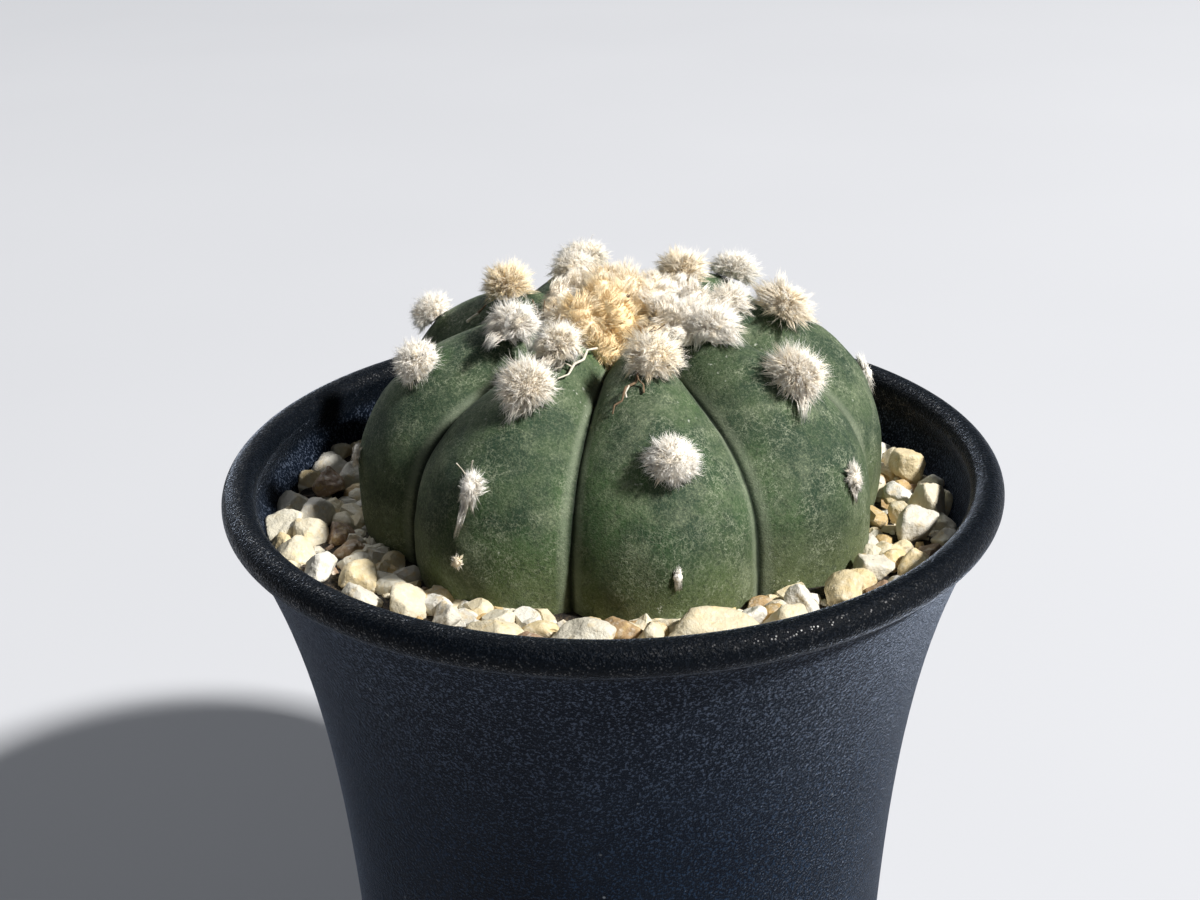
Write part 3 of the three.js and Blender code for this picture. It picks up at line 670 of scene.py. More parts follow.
def cut_drain(pot, azimuth):
    place = (*round_axis(azimuth, DRAIN_CIRCLE_RADIUS * MM), FOOT_HEIGHT * MM)
    cutter = begin("cylinder", vertices=28, radius=DRAIN_RADIUS * MM, depth=DRAIN_CUT * MM, location=place)
    apply_modifier(pot, "BOOLEAN", operation="DIFFERENCE", object=cutter, solver="EXACT")
    bpy.data.objects.remove(cutter)


def round_axis(azimuth, radius):
    angle = math.radians(azimuth)
    return radius * math.cos(angle), radius * math.sin(angle)


# ------------ cactus body

def crest(polar):
    """Distance from the body's axis and height of the rib crest, at angles down from the crown."""
    angle = np.radians(polar)
    radius = EQUATOR_RADIUS * np.abs(np.sin(angle)) ** (2 / ROUNDNESS)
    lift = np.abs(np.cos(angle)) ** (2 / ROUNDNESS)
    hollow = CROWN_HOLLOW_DEPTH * np.exp(-((radius / CROWN_HOLLOW_RADIUS) ** 2))
    above = EQUATOR_Z + CROWN_RISE * lift - hollow
    return radius, np.where(polar > 90, EQUATOR_Z - BELLY_DROP * lift, above)


def groove_depth(polar):
    shoulder = np.exp(-(((polar - GROOVE_SHOULDER_ANGLE) / GROOVE_SHOULDER_ANGLE) ** 2))
    crown_fade = 1 - np.exp(-((polar / GROOVE_FADE_ANGLE) ** 2))
    root_fade = np.minimum(1, (LAST_ANGLE - polar) / ROOT_FADE_ANGLE)
    return (GROOVE_DEPTH + GROOVE_SHOULDER_DEPTH * shoulder) * crown_fade * root_fade


def crest_normal(polar):
    r0, z0 = crest(polar - 0.1)
    r1, z1 = crest(polar + 0.1)
    length = np.hypot(r1 - r0, z1 - z0)
    return (z0 - z1) / length, (r1 - r0) / length


def on_body(azimuth, radius, z):
    angle = np.radians(azimuth)
    forward = radius * np.sin(angle)
    return np.stack([BODY_X + radius * np.cos(angle), BODY_Y + forward, z + LEAN_TO_FRONT * forward], -1)


def body_point(azimuth, polar, fullness):
    radius, z = crest(polar)
    outward, upward = crest_normal(polar)
    shift = -groove_depth(polar) * (1 - fullness)
    return on_body(azimuth, radius + outward * shift, z + upward * shift)


def areole_frame(azimuth, polar):
    """Where an areole sits, and its own axes: across the rib, up the rib and out of the skin."""
    outward, upward = crest_normal(np.float64(polar))
    angle = math.radians(azimuth)
    normal = np.array([outward * math.cos(angle), outward * math.sin(angle) - LEAN_TO_FRONT * upward, upward])
    normal /= np.linalg.norm(normal)
    across = np.array([-math.sin(angle), math.cos(angle), 0.0])
    across -= normal * (across @ normal)
    across /= np.linalg.norm(across)
    uphill = np.cross(normal, across)
    place = body_point(np.float64(azimuth), np.float64(polar), 1.0) + normal * CLEARANCE
    return place, np.stack([across, uphill, normal])


def even_rings():
    """Polar angles that lie evenly along the crest, from the crown to the root."""
    polar = np.linspace(0.01, LAST_ANGLE, 2000)
    radius, z = crest(polar)
    walked = np.concatenate([[0], np.cumsum(np.hypot(np.diff(radius), np.diff(z)))])
    return np.interp(np.linspace(0, walked[-1], BODY_RINGS + 1)[1:], walked, polar)


def rib_columns():
    """Each column's azimuth and fullness. The columns stand closest near the grooves."""
    rows = []
    for index, (_, start, _) in enumerate(RIBS):
        end = RIBS[index + 1][1] if index + 1 < len(RIBS) else RIBS[0][1] + 360
        for step in range(RIB_COLUMNS):
            across = math.sin(math.pi * (step / RIB_COLUMNS - 0.5))
            full = (1 - abs(across) ** RIB_FLATNESS) ** RIB_CREST
            rows.append(((start + end) / 2 + (end - start) / 2 * across, full))
    return np.array(rows)


def grow_body():
    """A ball with one column for every step across a rib, drawn out to the ribbed form."""
    columns = rib_columns()
    rings = even_rings()
    count = len(columns)
    levels = BODY_RINGS + len(ROOT)
    body = begin("uv_sphere", segments=count, ring_count=levels + 1, radius=1)
    ball = np.empty(len(body.data.vertices) * 3)
    body.data.vertices.foreach_get("co", ball)
    ball = ball.reshape(-1, 3)
    ring = np.rint(np.arccos(np.clip(ball[:, 2], -1, 1)) / math.pi * (levels + 1)).astype(int)
    column = np.rint(np.arctan2(ball[:, 1], ball[:, 0]) / (2 * math.pi) * count).astype(int) % count
    grown = np.empty_like(ball)
    skin = (ring >= 1) & (ring <= BODY_RINGS)
    polar = rings[np.clip(ring - 1, 0, BODY_RINGS - 1)]
    azimuth, full = columns[column].T
    grown[skin] = body_point(azimuth, polar, full)[skin]
    for index, (radius, drop) in enumerate(ROOT):
        here = ring == BODY_RINGS + 1 + index
        grown[here] = on_body(azimuth[here], radius, np.full(here.sum(), LIP_Z + drop))
    grown[ring == 0] = on_body(0.0, 0.0, crest(np.float64(0.01))[1])
    grown[ring == levels + 1] = on_body(0.0, 0.0, LIP_Z + ROOT_TIP_DROP)
    raise_areoles(grown)
    body.data.vertices.foreach_set("co", (grown * MM).ravel())
    lay_rib_map(body.data, count)
    apply_modifier(body, "SUBSURF", levels=1)
    roughen(body, "slow_swell", 6, 0.35)
    roughen(body, "skin_relief", 1.4, 0.07)
    pick_up(body)
    bpy.ops.object.shade_smooth()
    settle(body, "ribbed_body", felted_skin(), "cactus_skin", "cactus_body")


def raise_areoles(points):
    """A low swelling of the rib round each areole."""
    for _, _, areoles in RIBS:
        for azimuth, polar, _ in areoles:
            place, axes = areole_frame(azimuth, polar)
            gap = np.linalg.norm(points - place, axis=1)
            points += np.outer(AREOLE_RISE * np.exp(-((gap / AREOLE_SPREAD) ** 2)), axes[2])


def lay_rib_map(mesh, count):
    """The body's own map: across each rib in X, and from crown to root in Y."""
    layer = mesh.uv_layers.active
    flat = np.empty(len(mesh.loops) * 2)
    layer.data.foreach_get("uv", flat)
    flat = flat.reshape(-1, 2)
    step = flat[:, 0] * count
    face = np.repeat(np.arange(len(mesh.polygons)), [p.loop_total for p in mesh.polygons])
    middle = np.bincount(face, weights=step) / np.bincount(face)
    rib = np.floor(middle / RIB_COLUMNS)[face]
    share = np.clip(step / RIB_COLUMNS - rib, 0, 1)
    flat[:, 0] = (np.sin(math.pi * (share - 0.5)) + 1) / 2
    layer.data.foreach_set("uv", flat.ravel())


# ------------ wool

def spokes(roots, tips, radius):
    """Three points round each strand's line, as steps away from it."""
    line = tips - roots
    line /= np.linalg.norm(line, axis=1)[:, None] + 1e-9
    guide = np.where(np.abs(line[:, 2:3]) < 0.8, [[0.0, 0.0, 1.0]], [[1.0, 0.0, 0.0]])
    side = np.cross(line, guide)
    side /= np.linalg.norm(side, axis=1)[:, None]
    other = np.cross(line, side)
    turns = [2 * math.pi * corner / 3 for corner in range(3)]
    return [(side * math.cos(turn) + other * math.sin(turn)) * radius[:, None] for turn in turns]


def strands(roots, tips, radius, gold, tone=None, bow=None):
    """Closed three-sided hairs, bent where a bow is given: points, faces and each point's map."""
    count = len(roots)
    rings = [roots] if bow is None else [roots, (roots + tips) / 2 + bow]
    shares = [0.25] * 3 + [1.0] if bow is None else [0] * 3 + [0.5] * 3 + [1.0]
    each = len(shares)
    points = np.empty((count, each, 3))
    for corner, spoke in enumerate(spokes(roots, tips, radius)):
        for level, ring in enumerate(rings):
            points[:, 3 * level + corner] = ring + spoke * STRAND_TAPER**level
    points[:, -1] = tips
    top = each - 4
    quads = [(0, 1, 4, 3), (1, 2, 5, 4), (2, 0, 3, 5)][:top]
    thirds = [(top, top + 1, top + 3), (top + 1, top + 2, top + 3), (top + 2, top, top + 3), (2, 1, 0)]
    start = np.arange(count)[:, None, None] * each
    quads = (start + np.array(quads, int).reshape(1, -1, 4)).reshape(-1, 4)
    thirds = (start + np.array(thirds)[None]).reshape(-1, 3)
    share = np.tile(shares, count) * np.repeat(np.ones(count) if tone is None else tone, each)
    return points.reshape(-1, 3), quads, thirds, np.stack([share, np.repeat(gold, each)], -1)


def mesh_of(name, points, quads, thirds, own_map):
    mesh = bpy.data.meshes.new(name)
    mesh.vertices.add(len(points))
    mesh.vertices.foreach_set("co", (points * MM).astype(np.float32).ravel())
    corners = np.concatenate([quads.ravel(), thirds.ravel()])
    mesh.loops.add(len(corners))
    mesh.loops.foreach_set("vertex_index", corners.astype(np.int32))
    starts = np.concatenate([np.arange(len(quads)) * 4, len(quads) * 4 + np.arange(len(thirds)) * 3])
    mesh.polygons.add(len(starts))
    mesh.polygons.foreach_set("loop_start", starts.astype(np.int32))
    mesh.polygons.foreach_set("use_smooth", np.ones(len(starts), bool))
    mesh.update(calc_edges=True)
    layer = mesh.uv_layers.new(name="strand")
    layer.data.foreach_set("uv", own_map[corners].astype(np.float32).ravel())
    return linked(name, mesh)


def dome_directions(rng, count, lowest):
    """Directions spread evenly over a dome that reaches down to a level, a little shaken."""
    level = 1 - (1 - lowest) * (np.arange(count) + 0.5) / count
    turn = 2.39996 * np.arange(count) + rng.uniform(0, 6)
    wide = np.sqrt(1 - level**2)
    out = np.stack([wide * np.cos(turn), wide * np.sin(turn), level], -1)
    return unit(out + rng.normal(0, 0.3 / math.sqrt(count), (count, 3)))


def unit(rows):
    return rows / np.linalg.norm(rows, axis=1)[:, None]


def lumps(rng):
    """How far a tuft reaches in each direction: a few soft swellings and dents."""
    centres = unit(rng.normal(0, 1, (TUFT_LUMPS, 3)))
    heights = rng.uniform(-TUFT_LUMP_HEIGHT, TUFT_LUMP_HEIGHT, TUFT_LUMPS)
    return lambda directions: 1 + np.clip(directions @ centres.T, 0, 1) ** 3 @ heights


def pointed_locks(rng, kind, size, gold, reach):
    """The locks of a tuft: each leans and hangs its own way and has its own tone."""
    count = kind["locks"]
    middle = dome_directions(rng, count, kind["lowest"])
    half_width = LOCK_WIDTH / math.sqrt(count)
    own = np.repeat(np.arange(count), kind["each"])
    away = rng.normal(0, half_width * 0.6, (len(own), 3))
    out = unit(middle[own] + away)
    lean = rng.normal(0, kind["lean"], (count, 3)) + [0, -kind["lean"] * 0.5, -kind["hang"]]
    length = kind["reach"] * rng.uniform(1 - kind["uneven"], 1 + kind["uneven"], count)[own]
    length *= 1 - 0.3 * np.clip(np.linalg.norm(away, axis=1) / (2 * half_width), 0, 1) ** 1.5
    length *= rng.uniform(0.88, 1.08, len(own)) * reach(out)
    towards = unit(middle[own] * 0.7 + out * 0.3 + lean[own] * 0.5)
    tips = towards * length[:, None] - [0, 0, kind["hang"]] * length[:, None]
    bow = (out - towards) * 0.14 * length[:, None] + rng.normal(0, 0.04, out.shape)
    width = STRAND_RADIUS * rng.uniform(0.6, 1.4, len(own))
    gold = np.clip(gold + rng.normal(0, 0.16, count), 0, 1)[own]
    tone = rng.uniform(0.65, 1.0, count)[own]
    roots = out * kind["core"] * ROOT_DEPTH * reach(out)[:, None]
    return strands(roots * size, tips * size, width, gold, tone, bow * size)


def stray_hairs(rng, kind, size, gold, reach):
    """Single finer hairs that stand out of the locks, each its own way."""
    count = int(kind["locks"] * kind["each"] * STRAY_SHARE)
    out = dome_directions(rng, count, kind["lowest"])
    tips = unit(out + rng.normal(0, 0.26, (count, 3))) * rng.uniform(*STRAY_REACH, (count, 1))
    tips *= reach(out)[:, None]
    bow = rng.normal(0, 0.09, (count, 3))
    width = STRAND_RADIUS * rng.uniform(0.4, 0.7, count)
    gold = np.clip(gold * 0.5 + rng.normal(0, 0.1, count), 0, 1)
    return strands(out * kind["core"] * ROOT_DEPTH * size, tips * size, width, gold, None, bow * size)


def undercoat(rng, kind, size, gold, reach, breadth):
    """The dense short hair under the locks."""
    count = int(COAT_PER_AREA * 2 * math.pi * breadth**2)
    out = dome_directions(rng, count, kind["lowest"])
    tips = out * COAT_REACH * rng.uniform(0.8, 1.1, (count, 1)) * reach(out)[:, None]
    tips += rng.normal(0, 0.07, out.shape)
    width = STRAND_RADIUS * rng.uniform(0.9, 1.6, count)
    gold = np.clip(gold + rng.normal(0.06, 0.12, count), 0, 1)
    roots = out * kind["core"] * COAT_ROOT_DEPTH * reach(out)[:, None]
    return strands(roots * size, tips * size, width, gold)


def hanging_tail(rng, kind, size, gold, tail):
    """A thin lock that hangs down the rib from the tuft's lower edge, close to the skin."""
    across, down = tail
    start = np.array([across * 0.4, -kind["core"], -0.1])
    start = start + rng.normal(0, [0.16, 0.08, 0.08], (TAIL_STRANDS, 3))
    share = rng.uniform(0.55, 1.05, (TAIL_STRANDS, 1))
    tips = start + (np.array([across, -down, -0.3]) - start) * share
    tips += rng.normal(0, [0.13, 0.05, 0.05], tips.shape)
    bow = rng.normal(0, 0.05, tips.shape) + [0, 0, 0.08]
    width = STRAND_RADIUS * rng.uniform(0.5, 1.1, TAIL_STRANDS)
    gold = np.clip(gold * 0.6 + rng.normal(0, 0.1, TAIL_STRANDS), 0, 1)
    return strands(start * size, tips * size, width, gold, None, bow * size)


def tuft_hair(rng, radius, kind, shape, gold, tail):
    """One tuft's hair about its own origin: locks and stray hairs over a dense short coat."""
    size = np.array(shape) * radius
    reach = lumps(rng)
    parts = [pointed_locks(rng, kind, size, gold, reach), stray_hairs(rng, kind, size, gold, reach)]
    parts.append(undercoat(rng, kind, size, gold, reach, radius * (shape[0] + shape[1]) / 2))
    if tail:
        parts.append(hanging_tail(rng, kind, size, gold, tail))
    return parts


def gathered(parts, axes, place):
    """Several parts as one, turned from their own axes to those given, and moved to a place."""
    points, quads, thirds, own_map = zip(*parts)
    starts = np.cumsum([0] + [len(rows) for rows in points[:-1]])
    quads = np.concatenate([rows + start for rows, start in zip(quads, starts)])
    thirds = np.concatenate([rows + start for rows, start in zip(thirds, starts)])
    return np.concatenate([rows @ axes + place for rows in points]), quads, thirds, np.concatenate(own_map)


def tuft_core(radius, shape, share, gold, name):
    """The matted middle of a tuft: a ball, flat below, made uneven."""
    size = radius * share * 1.04
    core = begin("ico_sphere", subdivisions=3, radius=size * MM)
    edit_all()
    cut = (0, 0, -CORE_CUT * size * MM)
    bpy.ops.mesh.bisect(plane_co=cut, plane_no=(0, 0, -1), use_fill=True, clear_outer=True)
    bpy.ops.transform.resize(value=shape, center_override=(0, 0, 0))
    bpy.ops.object.mode_set(mode="OBJECT")
    roughen(core, name + "_matting", 0.7, CORE_RELIEF * radius, 0.6)
    lay_wool_map(core.data, 0.3, gold)
    return core


def lay_wool_map(mesh, along, gold):
    """The map of a matted middle. It has one value of gold, or one for each point."""
    corners = np.empty(len(mesh.loops), int)
    mesh.loops.foreach_get("vertex_index", corners)
    gold = np.broadcast_to(gold, len(mesh.vertices))[corners]
    layer = mesh.uv_layers.active or mesh.uv_layers.new(name="strand")
    layer.name = "strand"
    own_map = np.stack([np.full(len(corners), along), gold], -1)
    layer.data.foreach_set("uv", own_map.astype(np.float32).ravel())


def plant_tufts():
    cream = wool("cream_wool")
    seed = 0
    for rib, _, areoles in RIBS:
        for index, (azimuth, polar, radius) in enumerate(areoles):
            seed += 1
            name = f"{rib}{index + 1}"
            rng = np.random.default_rng(seed)
            kind_name, *shape, gold, tail = TUFTS[name]
            kind = dict(zip(WOOL_TRAITS, WOOL_KINDS[kind_name]))
            place, axes = areole_frame(azimuth, polar)
            place = place + axes[2] * radius * shape[2] * TUFT_LIFT
            hair = gathered(tuft_hair(rng, radius, kind, shape, gold, tail), axes, place)
            core = tuft_core(radius, shape, kind["core"], gold, name)
            core.matrix_world = Matrix.Translation(place * MM) @ Matrix(axes.T.tolist()).to_4x4()
            pick_up(core)
            fix_place()
            tuft = join_pieces([mesh_of("hair", *hair), core])
            settle(tuft, "tuft_" + name, cream, "areole_wool", "wool_" + name)


def grown_together(name, puffs):
    """Balls of wool joined and remeshed as one heap, with a lumpy surface."""
    balls = []
    for x, y, rise, radius, _ in puffs:
        place = (x * MM, y * MM, (LIP_Z + rise) * MM)
        balls.append(begin("ico_sphere", subdivisions=3, radius=radius * PUFF_CORE * MM, location=place))
    heap = join_pieces(balls)
    fix_place()
    apply_modifier(heap, "REMESH", mode="VOXEL", voxel_size=HEAP_VOXEL * MM)
    apply_modifier(heap, "SMOOTH", factor=0.5, iterations=3)
    roughen(heap, name + "_matting", 1.5, HEAP_RELIEF)
    return heap


def spread_over(piece, rng, per_area):
    """Places spread over a piece, so many to a square millimetre, and the way out at each."""
    mesh = piece.data
    mesh.calc_loop_triangles()
    points = np.array([corner.co for corner in mesh.vertices]) / MM
    normals = np.array([corner.normal for corner in mesh.vertices])
    faces = np.array([triangle.vertices for triangle in mesh.loop_triangles])
    a, b, c = points[faces].transpose(1, 0, 2)
    area = np.linalg.norm(np.cross(b - a, c - a), axis=1) / 2
    count = int(area.sum() * per_area)
    face = rng.choice(len(faces), count, p=area / area.sum())
    u, v = rng.uniform(size=(2, count, 1))
    u, v = np.where(u + v > 1, 1 - u, u), np.where(u + v > 1, 1 - v, v)
    places = a[face] + (b - a)[face] * u + (c - a)[face] * v
    corners = normals[faces[face]]
    return places, unit(corners[:, 0] * (1 - u - v) + corners[:, 1] * u + corners[:, 2] * v)


def gold_near(puffs, places):
    """How golden the wool is at each place: that of the puffs about it."""
    table = np.array(puffs)
    centres = table[:, :3] + [0, 0, LIP_Z]
    gap = np.linalg.norm(places[:, None] - centres[None], axis=2) - table[:, 3]
    weight = np.exp(-gap / 0.5)
    return weight @ table[:, 4] / weight.sum(1)


def fleece(name, puffs, hair, rng):
    """A heap of wool: the lumpy middle, and fine hair in clumps all over it."""
    heap = grown_together(name, puffs)
    places, out = spread_over(heap, rng, hair["per_area"])
    count = len(places)
    clumps = count // hair["clump"]
    heads = rng.choice(count, clumps, replace=False)
    own = np.argmin(((places[:, None] - places[heads][None]) ** 2).sum(-1), axis=1)
    lean = unit(out[heads] + rng.normal(0, hair["swirl"], (clumps, 3)))
    length = hair["length"] * rng.uniform(0.7, 1.25, clumps)[own] * rng.uniform(0.8, 1.15, count)
    towards = unit(out * 0.45 + lean[own] * 0.8 + rng.normal(0, 0.14, out.shape))
    free = places + towards * length[:, None]
    gathered_tips = places[heads][own] + lean[own] * length[:, None]
    tips = free * (1 - hair["pull"]) + gathered_tips * hair["pull"]
    bow = (out - towards) * 0.16 * length[:, None] + rng.normal(0, 0.05, out.shape)
    width = STRAND_RADIUS * rng.uniform(0.5, 1.1, count)
    gold = gold_near(puffs, places) + rng.normal(0, 0.1, clumps)[own]
    tone = rng.uniform(0.6, 1.0, clumps)[own]
    hairs = strands(places - out * HAIR_ROOT_DEPTH, tips, width, np.clip(gold, 0, 1), tone, bow)
    points = np.array([corner.co for corner in heap.data.vertices]) / MM
    lay_wool_map(heap.data, 0.35, gold_near(puffs, points))
    return join_pieces([mesh_of("hair", *hairs), heap])


def fill_crown():
    """The crown's wool: a soft golden heap over the hollow, and a creamy one to its right."""
    golden = wool("golden_wool")
    rng = np.random.default_rng(19)
    heap = fleece("golden", GOLDEN_PUFFS, FLEECE["golden"], rng)
    settle(heap, "crown_fleece", golden, "crown_wool", "crown_wool")
    side = fleece("cream", CREAM_PUFFS, FLEECE["cream"], rng)
    settle(side, "crown_fleece_right", golden, "crown_wool")


def dry_thread(radius, points):
    """An edge drawn point by point and given a round skin, thinner towards its end."""
    thread = drawn([(x, y, LIP_Z + rise) for x, y, rise in points])
    bpy.ops.object.mode_set(mode="OBJECT")
    modifier = thread.modifiers.new("Skin", "SKIN")
    for index, corner in enumerate(thread.data.skin_vertices[0].data):
        width = radius * MM * (1 - (1 - THREAD_TAPER) * index / (len(points) - 1))
        corner.radius = (width, width * 0.8)
    bpy.ops.object.modifier_apply(modifier=modifier.name)
    apply_modifier(thread, "SUBSURF", levels=2)
    return thread


def lay_threads():
    """Withered hairs and rootlets that lie on the ribs and stick out of the wool."""
    for name, colours, rows in (
        ("pale", ((0.50, 0.42, 0.30), (0.86, 0.84, 0.76)), PALE_THREADS),
        ("brown", ((0.045, 0.026, 0.012), (0.30, 0.20, 0.115)), BROWN_THREADS),
    ):
        threads = join_pieces([dry_thread(radius, points) for radius, points in rows])
        bpy.ops.object.shade_smooth()
        settle(threads, name + "_threads", dry_matter(name + "_dry_threads", *colours), "areole_wool")


# ------------ stones

def body_edge(azimuth):
    angle = math.radians(azimuth)
    along = BODY_X * math.cos(angle) + BODY_Y * math.sin(angle)
    across = BODY_X * math.sin(angle) - BODY_Y * math.cos(angle)
    return along + math.sqrt(EQUATOR_RADIUS**2 - across**2)


def dressing_depth(azimuth):
    front = (1 - math.sin(math.radians(azimuth))) / 2
    return DRESSING_DEPTH_BACK + (DRESSING_DEPTH_FRONT - DRESSING_DEPTH_BACK) * front


def stone_at(azimuth, radius, depth, size, tone):
    place = np.array([*round_axis(azimuth, radius), LIP_Z - depth])
    return {"azimuth": azimuth, "place": place, "size": size, "spread": (size[0] + size[1]) / 4, "tone": tone}


def apart(stone, other):
    gap = math.hypot(*(other["place"] - stone["place"])[:2])
    return gap > STONE_SPACING * (other["spread"] + stone["spread"])


def stone_places():
    """The laid stones, and then the rest, drawn by the same seeded rule as the solids."""
    draw = seeded(STONE_SEED).__next__
    tones = seeded(STONE_SEED + 7).__next__
    low, high = STONE_SINK_RANGE
    stones = []
    for azimuth, radius, depth, *size, tone in LAID_STONES:
        stones.append(stone_at(azimuth, radius, depth, size, tone))
    for size in STONE_SIZES:
        for _ in range(STONE_TRIES):
            azimuth = 360 * draw()
            nearest = body_edge(azimuth) + STONE_EDGE_ROOM * size
            farthest = inner_radius(LIP_Z - DRESSING_DEPTH_BACK) - STONE_EDGE_ROOM * size
            radius = nearest + (farthest - nearest) * draw()
            depth = dressing_depth(azimuth) + size * (low + (high - low) * draw())
            shape = (size, STONE_WIDTH * size, STONE_FLATNESS * size)
            stone = stone_at(azimuth, radius, depth, shape, None)
            if all(apart(stone, other) for other in stones):
                stone["tone"] = 0.62 * tones() ** 1.3 if tones() < 0.86 else 0.6 + 0.35 * tones()
                stones.append(stone)
    return stones


def scattered(rng, count, sizes, reach, sink, width, tone):
    """Small stones strewn about the body. reach and tone draw one stone's distance and tone."""
    rows = []
    for _ in range(count):
        azimuth = rng.uniform(0, 360)
        size = rng.uniform(*sizes)
        radius = reach(body_edge(azimuth))
        depth = dressing_depth(azimuth) + rng.uniform(*sink)
        rows.append(stone_at(azimuth, radius, depth, (size, size * width, size * 0.75), tone()))
    return rows


def split_stone(rng, cuts, smoothness, voxel=None):
    """A ball a metre across split along flat planes, and worn if a voxel's size is given.

    It shrinks to its real size when it is copied.
    """
    stone = begin("ico_sphere", subdivisions=smoothness, radius=0.62)
    bpy.ops.object.mode_set(mode="EDIT")
    for _ in range(cuts):
        normal = Vector(rng.normal(0, 1, 3)).normalized()
        bpy.ops.mesh.select_all(action="SELECT")
        place = normal * rng.uniform(0.28, 0.48)
        bpy.ops.mesh.bisect(plane_co=place, plane_no=normal, use_fill=True, clear_outer=True)
    face_out()
    bpy.ops.object.mode_set(mode="OBJECT")
    if voxel:
        apply_modifier(stone, "REMESH", mode="VOXEL", voxel_size=voxel)
        apply_modifier(stone, "SMOOTH", factor=0.5, iterations=1)
        roughen(stone, "stone_wear", 280, 80)
        roughen(stone, "stone_pits", 110, 40)
    mesh = stone.data
    mesh.calc_loop_triangles()
    points = np.array([v.co for v in mesh.vertices])
    faces = np.array([t.vertices for t in mesh.loop_triangles])
    bpy.data.objects.remove(stone)
    return points, faces


def inside_pot(points):
    """The same points, with those beyond the wall pressed back against its inside."""
    room = wall_radius(points[:, 2]) - WALL_THICKNESS - WALL_ROOM
    share = np.minimum(1, room / np.hypot(points[:, 0], points[:, 1]))
    return points * np.stack([share, share, np.ones(len(points))], -1)


def copy_stones(shapes, rows, rng, smooth):
    """Copies of the split stones, each turned its own way, sized, placed and toned."""
    points, faces, own_map, count = [], [], [], 0
    for row in rows:
        shape, triangles = shapes[rng.integers(len(shapes))]
        turned = shape @ np.array(Euler(rng.uniform(0, 2 * math.pi, 3)).to_matrix()).T
        sized = ((turned - turned.min(0)) / np.ptp(turned, axis=0) - 0.5) * np.array(row["size"])
        angle = math.radians(row["azimuth"] + 90) + rng.uniform(-0.35, 0.35)
        lie = Euler((rng.uniform(-0.25, 0.25), rng.uniform(-0.2, 0.2), angle)).to_matrix()
        points.append(inside_pot(sized @ np.array(lie).T + row["place"]))
        faces.append(triangles + count)
        own_map.append(np.tile([row["tone"], rng.uniform()], (len(shape), 1)))
        count += len(shape)
    none = np.empty((0, 4), int)
    piece = mesh_of("stones", np.concatenate(points), none, np.concatenate(faces), np.concatenate(own_map))
    piece.data.polygons.foreach_set("use_smooth", np.full(len(piece.data.polygons), smooth))
    return piece


def lay_stones():
    finish = crushed_stone()
    rng = np.random.default_rng(STONE_SEED)

    def lay(name, shapes, rows, smooth, *nodes):
        settle(copy_stones(shapes, rows, rng, smooth), name, finish, "pale_stone", *nodes)

    shapes = [split_stone(rng, STONE_CUTS, 3, STONE_VOXEL) for _ in range(STONE_SHAPES)]
    stones = stone_places()
    laid = len(LAID_STONES)
    lay("laid_stones", shapes, stones[:laid], True, "gravel")
    lay("loose_stones", shapes, stones[laid:], True)
    shapes = [split_stone(rng, 5, 1) for _ in range(8)]
    farthest = inner_radius(LIP_Z - 6) - 0.6
    grit = scattered(
        rng, GRIT_COUNT, GRIT_SIZES, lambda edge: rng.uniform(edge - 1.5, farthest), (1.0, 2.6), 0.8,
        lambda: rng.uniform(0, 1) ** 1.2,
    )
    lay("fine_grit", shapes, grit, False)
    shapes = [split_stone(rng, 7, 2) for _ in range(10)]
    chips = scattered(
        rng, CHIP_COUNT, CHIP_SIZES, lambda edge: edge + rng.uniform(-1.6, 2.4), (0.7, 1.9), 0.85,
        lambda: rng.uniform(0, 0.85),
    )
    lay("stone_chips", shapes, chips, False)


def bed_of_grit():
    """The dark bed between the stones, its near-black partly painted shade: a disc drawn in rings, made
    uneven.
    """
    outer = inner_radius(LIP_Z - BED_DEPTH_BACK) - 2 * CLEARANCE
    centre = (0, 0, (LIP_Z - BED_DEPTH) * MM)
    bed = begin("circle", vertices=160, radius=outer * MM, location=centre)
    edit_all()
    for step in range(BED_STEPS):
        bpy.ops.mesh.extrude_region_move(TRANSFORM_OT_translate={"value": (0, 0, 0)})
        ratio = (outer - (step + 1)) / (outer - step)
        bpy.ops.transform.resize(value=(ratio, ratio, 1), center_override=centre)
    bpy.ops.mesh.edge_face_add()
    face_out()
    tilt = math.atan((BED_DEPTH_BACK - BED_DEPTH) / outer)
    bpy.ops.transform.rotate(value=tilt, orient_axis="X", center_override=centre)
    bpy.ops.object.mode_set(mode="OBJECT")
    pick_up(bed)
    fix_place()
    apply_modifier(bed, "SOLIDIFY", thickness=1.5 * MM, offset=-1)
    roughen(bed, "bed_relief", 1.6, 0.9)
    # Partly painted shade: the bed is darker than the potting mix, for the shade in the gaps between the
    # stones.
    finish = gritty_mix("grit_bed_painted_shade", (0.008, 0.006, 0.004), (0.07, 0.05, 0.03))
    settle(bed, "stone_bed", finish, "soil")


# ------------ stage

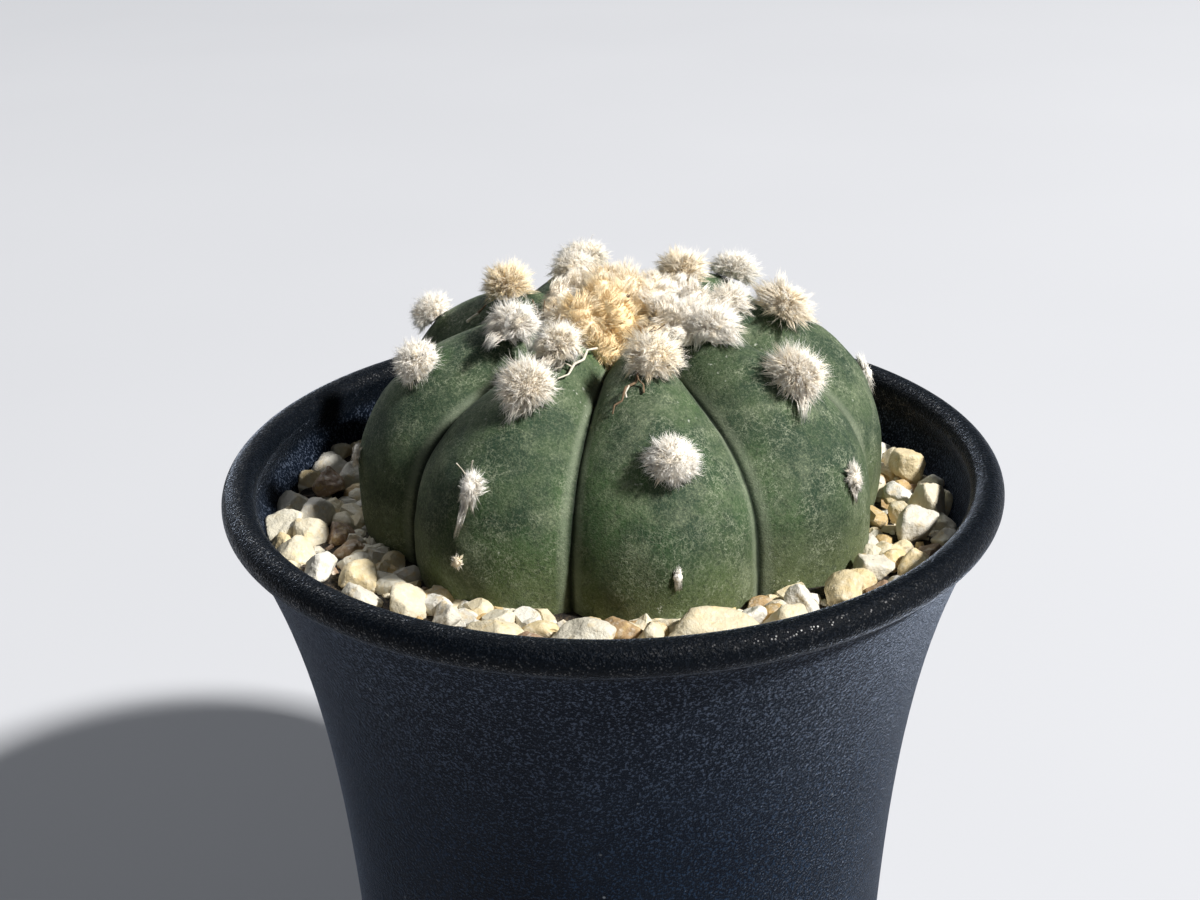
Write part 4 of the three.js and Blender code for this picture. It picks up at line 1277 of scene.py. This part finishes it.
def set_stage():
    floor = begin("plane", size=8)
    floor.name = "floor"
    floor.data.materials.append(pale_floor())
    sky = bpy.data.worlds.new("soft_sky")
    sky.use_nodes = True
    sky.node_tree.nodes["Background"].inputs["Color"].default_value = (0.93, 0.95, 1.0, 1)
    sky.node_tree.nodes["Background"].inputs["Strength"].default_value = SKY_STRENGTH
    bpy.context.scene.world = sky
    for name, row in LAMPS.items():
        hang_lamp(name, *row)


def hang_lamp(name, azimuth, elevation, size, power, colour):
    light = bpy.data.lights.new(name, "AREA")
    light.energy = power
    light.size = size * MM
    light.color = colour
    lamp = linked(name, light)
    turn, rise = math.radians(azimuth), math.radians(elevation)
    towards = Vector((math.cos(turn) * math.cos(rise), math.sin(turn) * math.cos(rise), math.sin(rise)))
    lamp.location = Vector((0, 0, LIP_Z * MM)) + towards * LAMP_DISTANCE * MM
    lamp.rotation_euler = towards.to_track_quat("Z", "Y").to_euler()


def set_camera():
    data = bpy.data.cameras.new("camera")
    data.sensor_width = SENSOR
    data.lens = FOCAL_PIXELS / IMAGE_WIDTH * SENSOR
    data.shift_x = SHIFT_PIXELS[0] / IMAGE_WIDTH
    data.shift_y = SHIFT_PIXELS[1] / IMAGE_WIDTH
    data.clip_start = 0.01
    camera = linked("camera", data)
    elevation = math.radians(CAMERA_ELEVATION)
    back = Vector((0, -math.cos(elevation), math.sin(elevation)))
    camera.location = Vector((0, 0, LIP_Z * MM)) + back * CAMERA_DISTANCE * MM
    level = back.to_track_quat("Z", "Y").to_matrix()
    roll = Matrix.Rotation(math.radians(CAMERA_ROLL), 3, "Z")
    camera.rotation_euler = (level @ roll).to_euler()
    bpy.context.scene.camera = camera


# ------------ the potted plant

turn_pot()
bed_of_grit()
lay_stones()
grow_body()
plant_tufts()
fill_crown()
lay_threads()
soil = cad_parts["soil"]
soil.data.materials.clear()
soil.data.materials.append(gritty_mix("potting_mix", (0.018, 0.012, 0.008), (0.11, 0.08, 0.05)))
set_stage()
set_camera()
bpy.context.scene.view_settings.view_transform = "Standard"
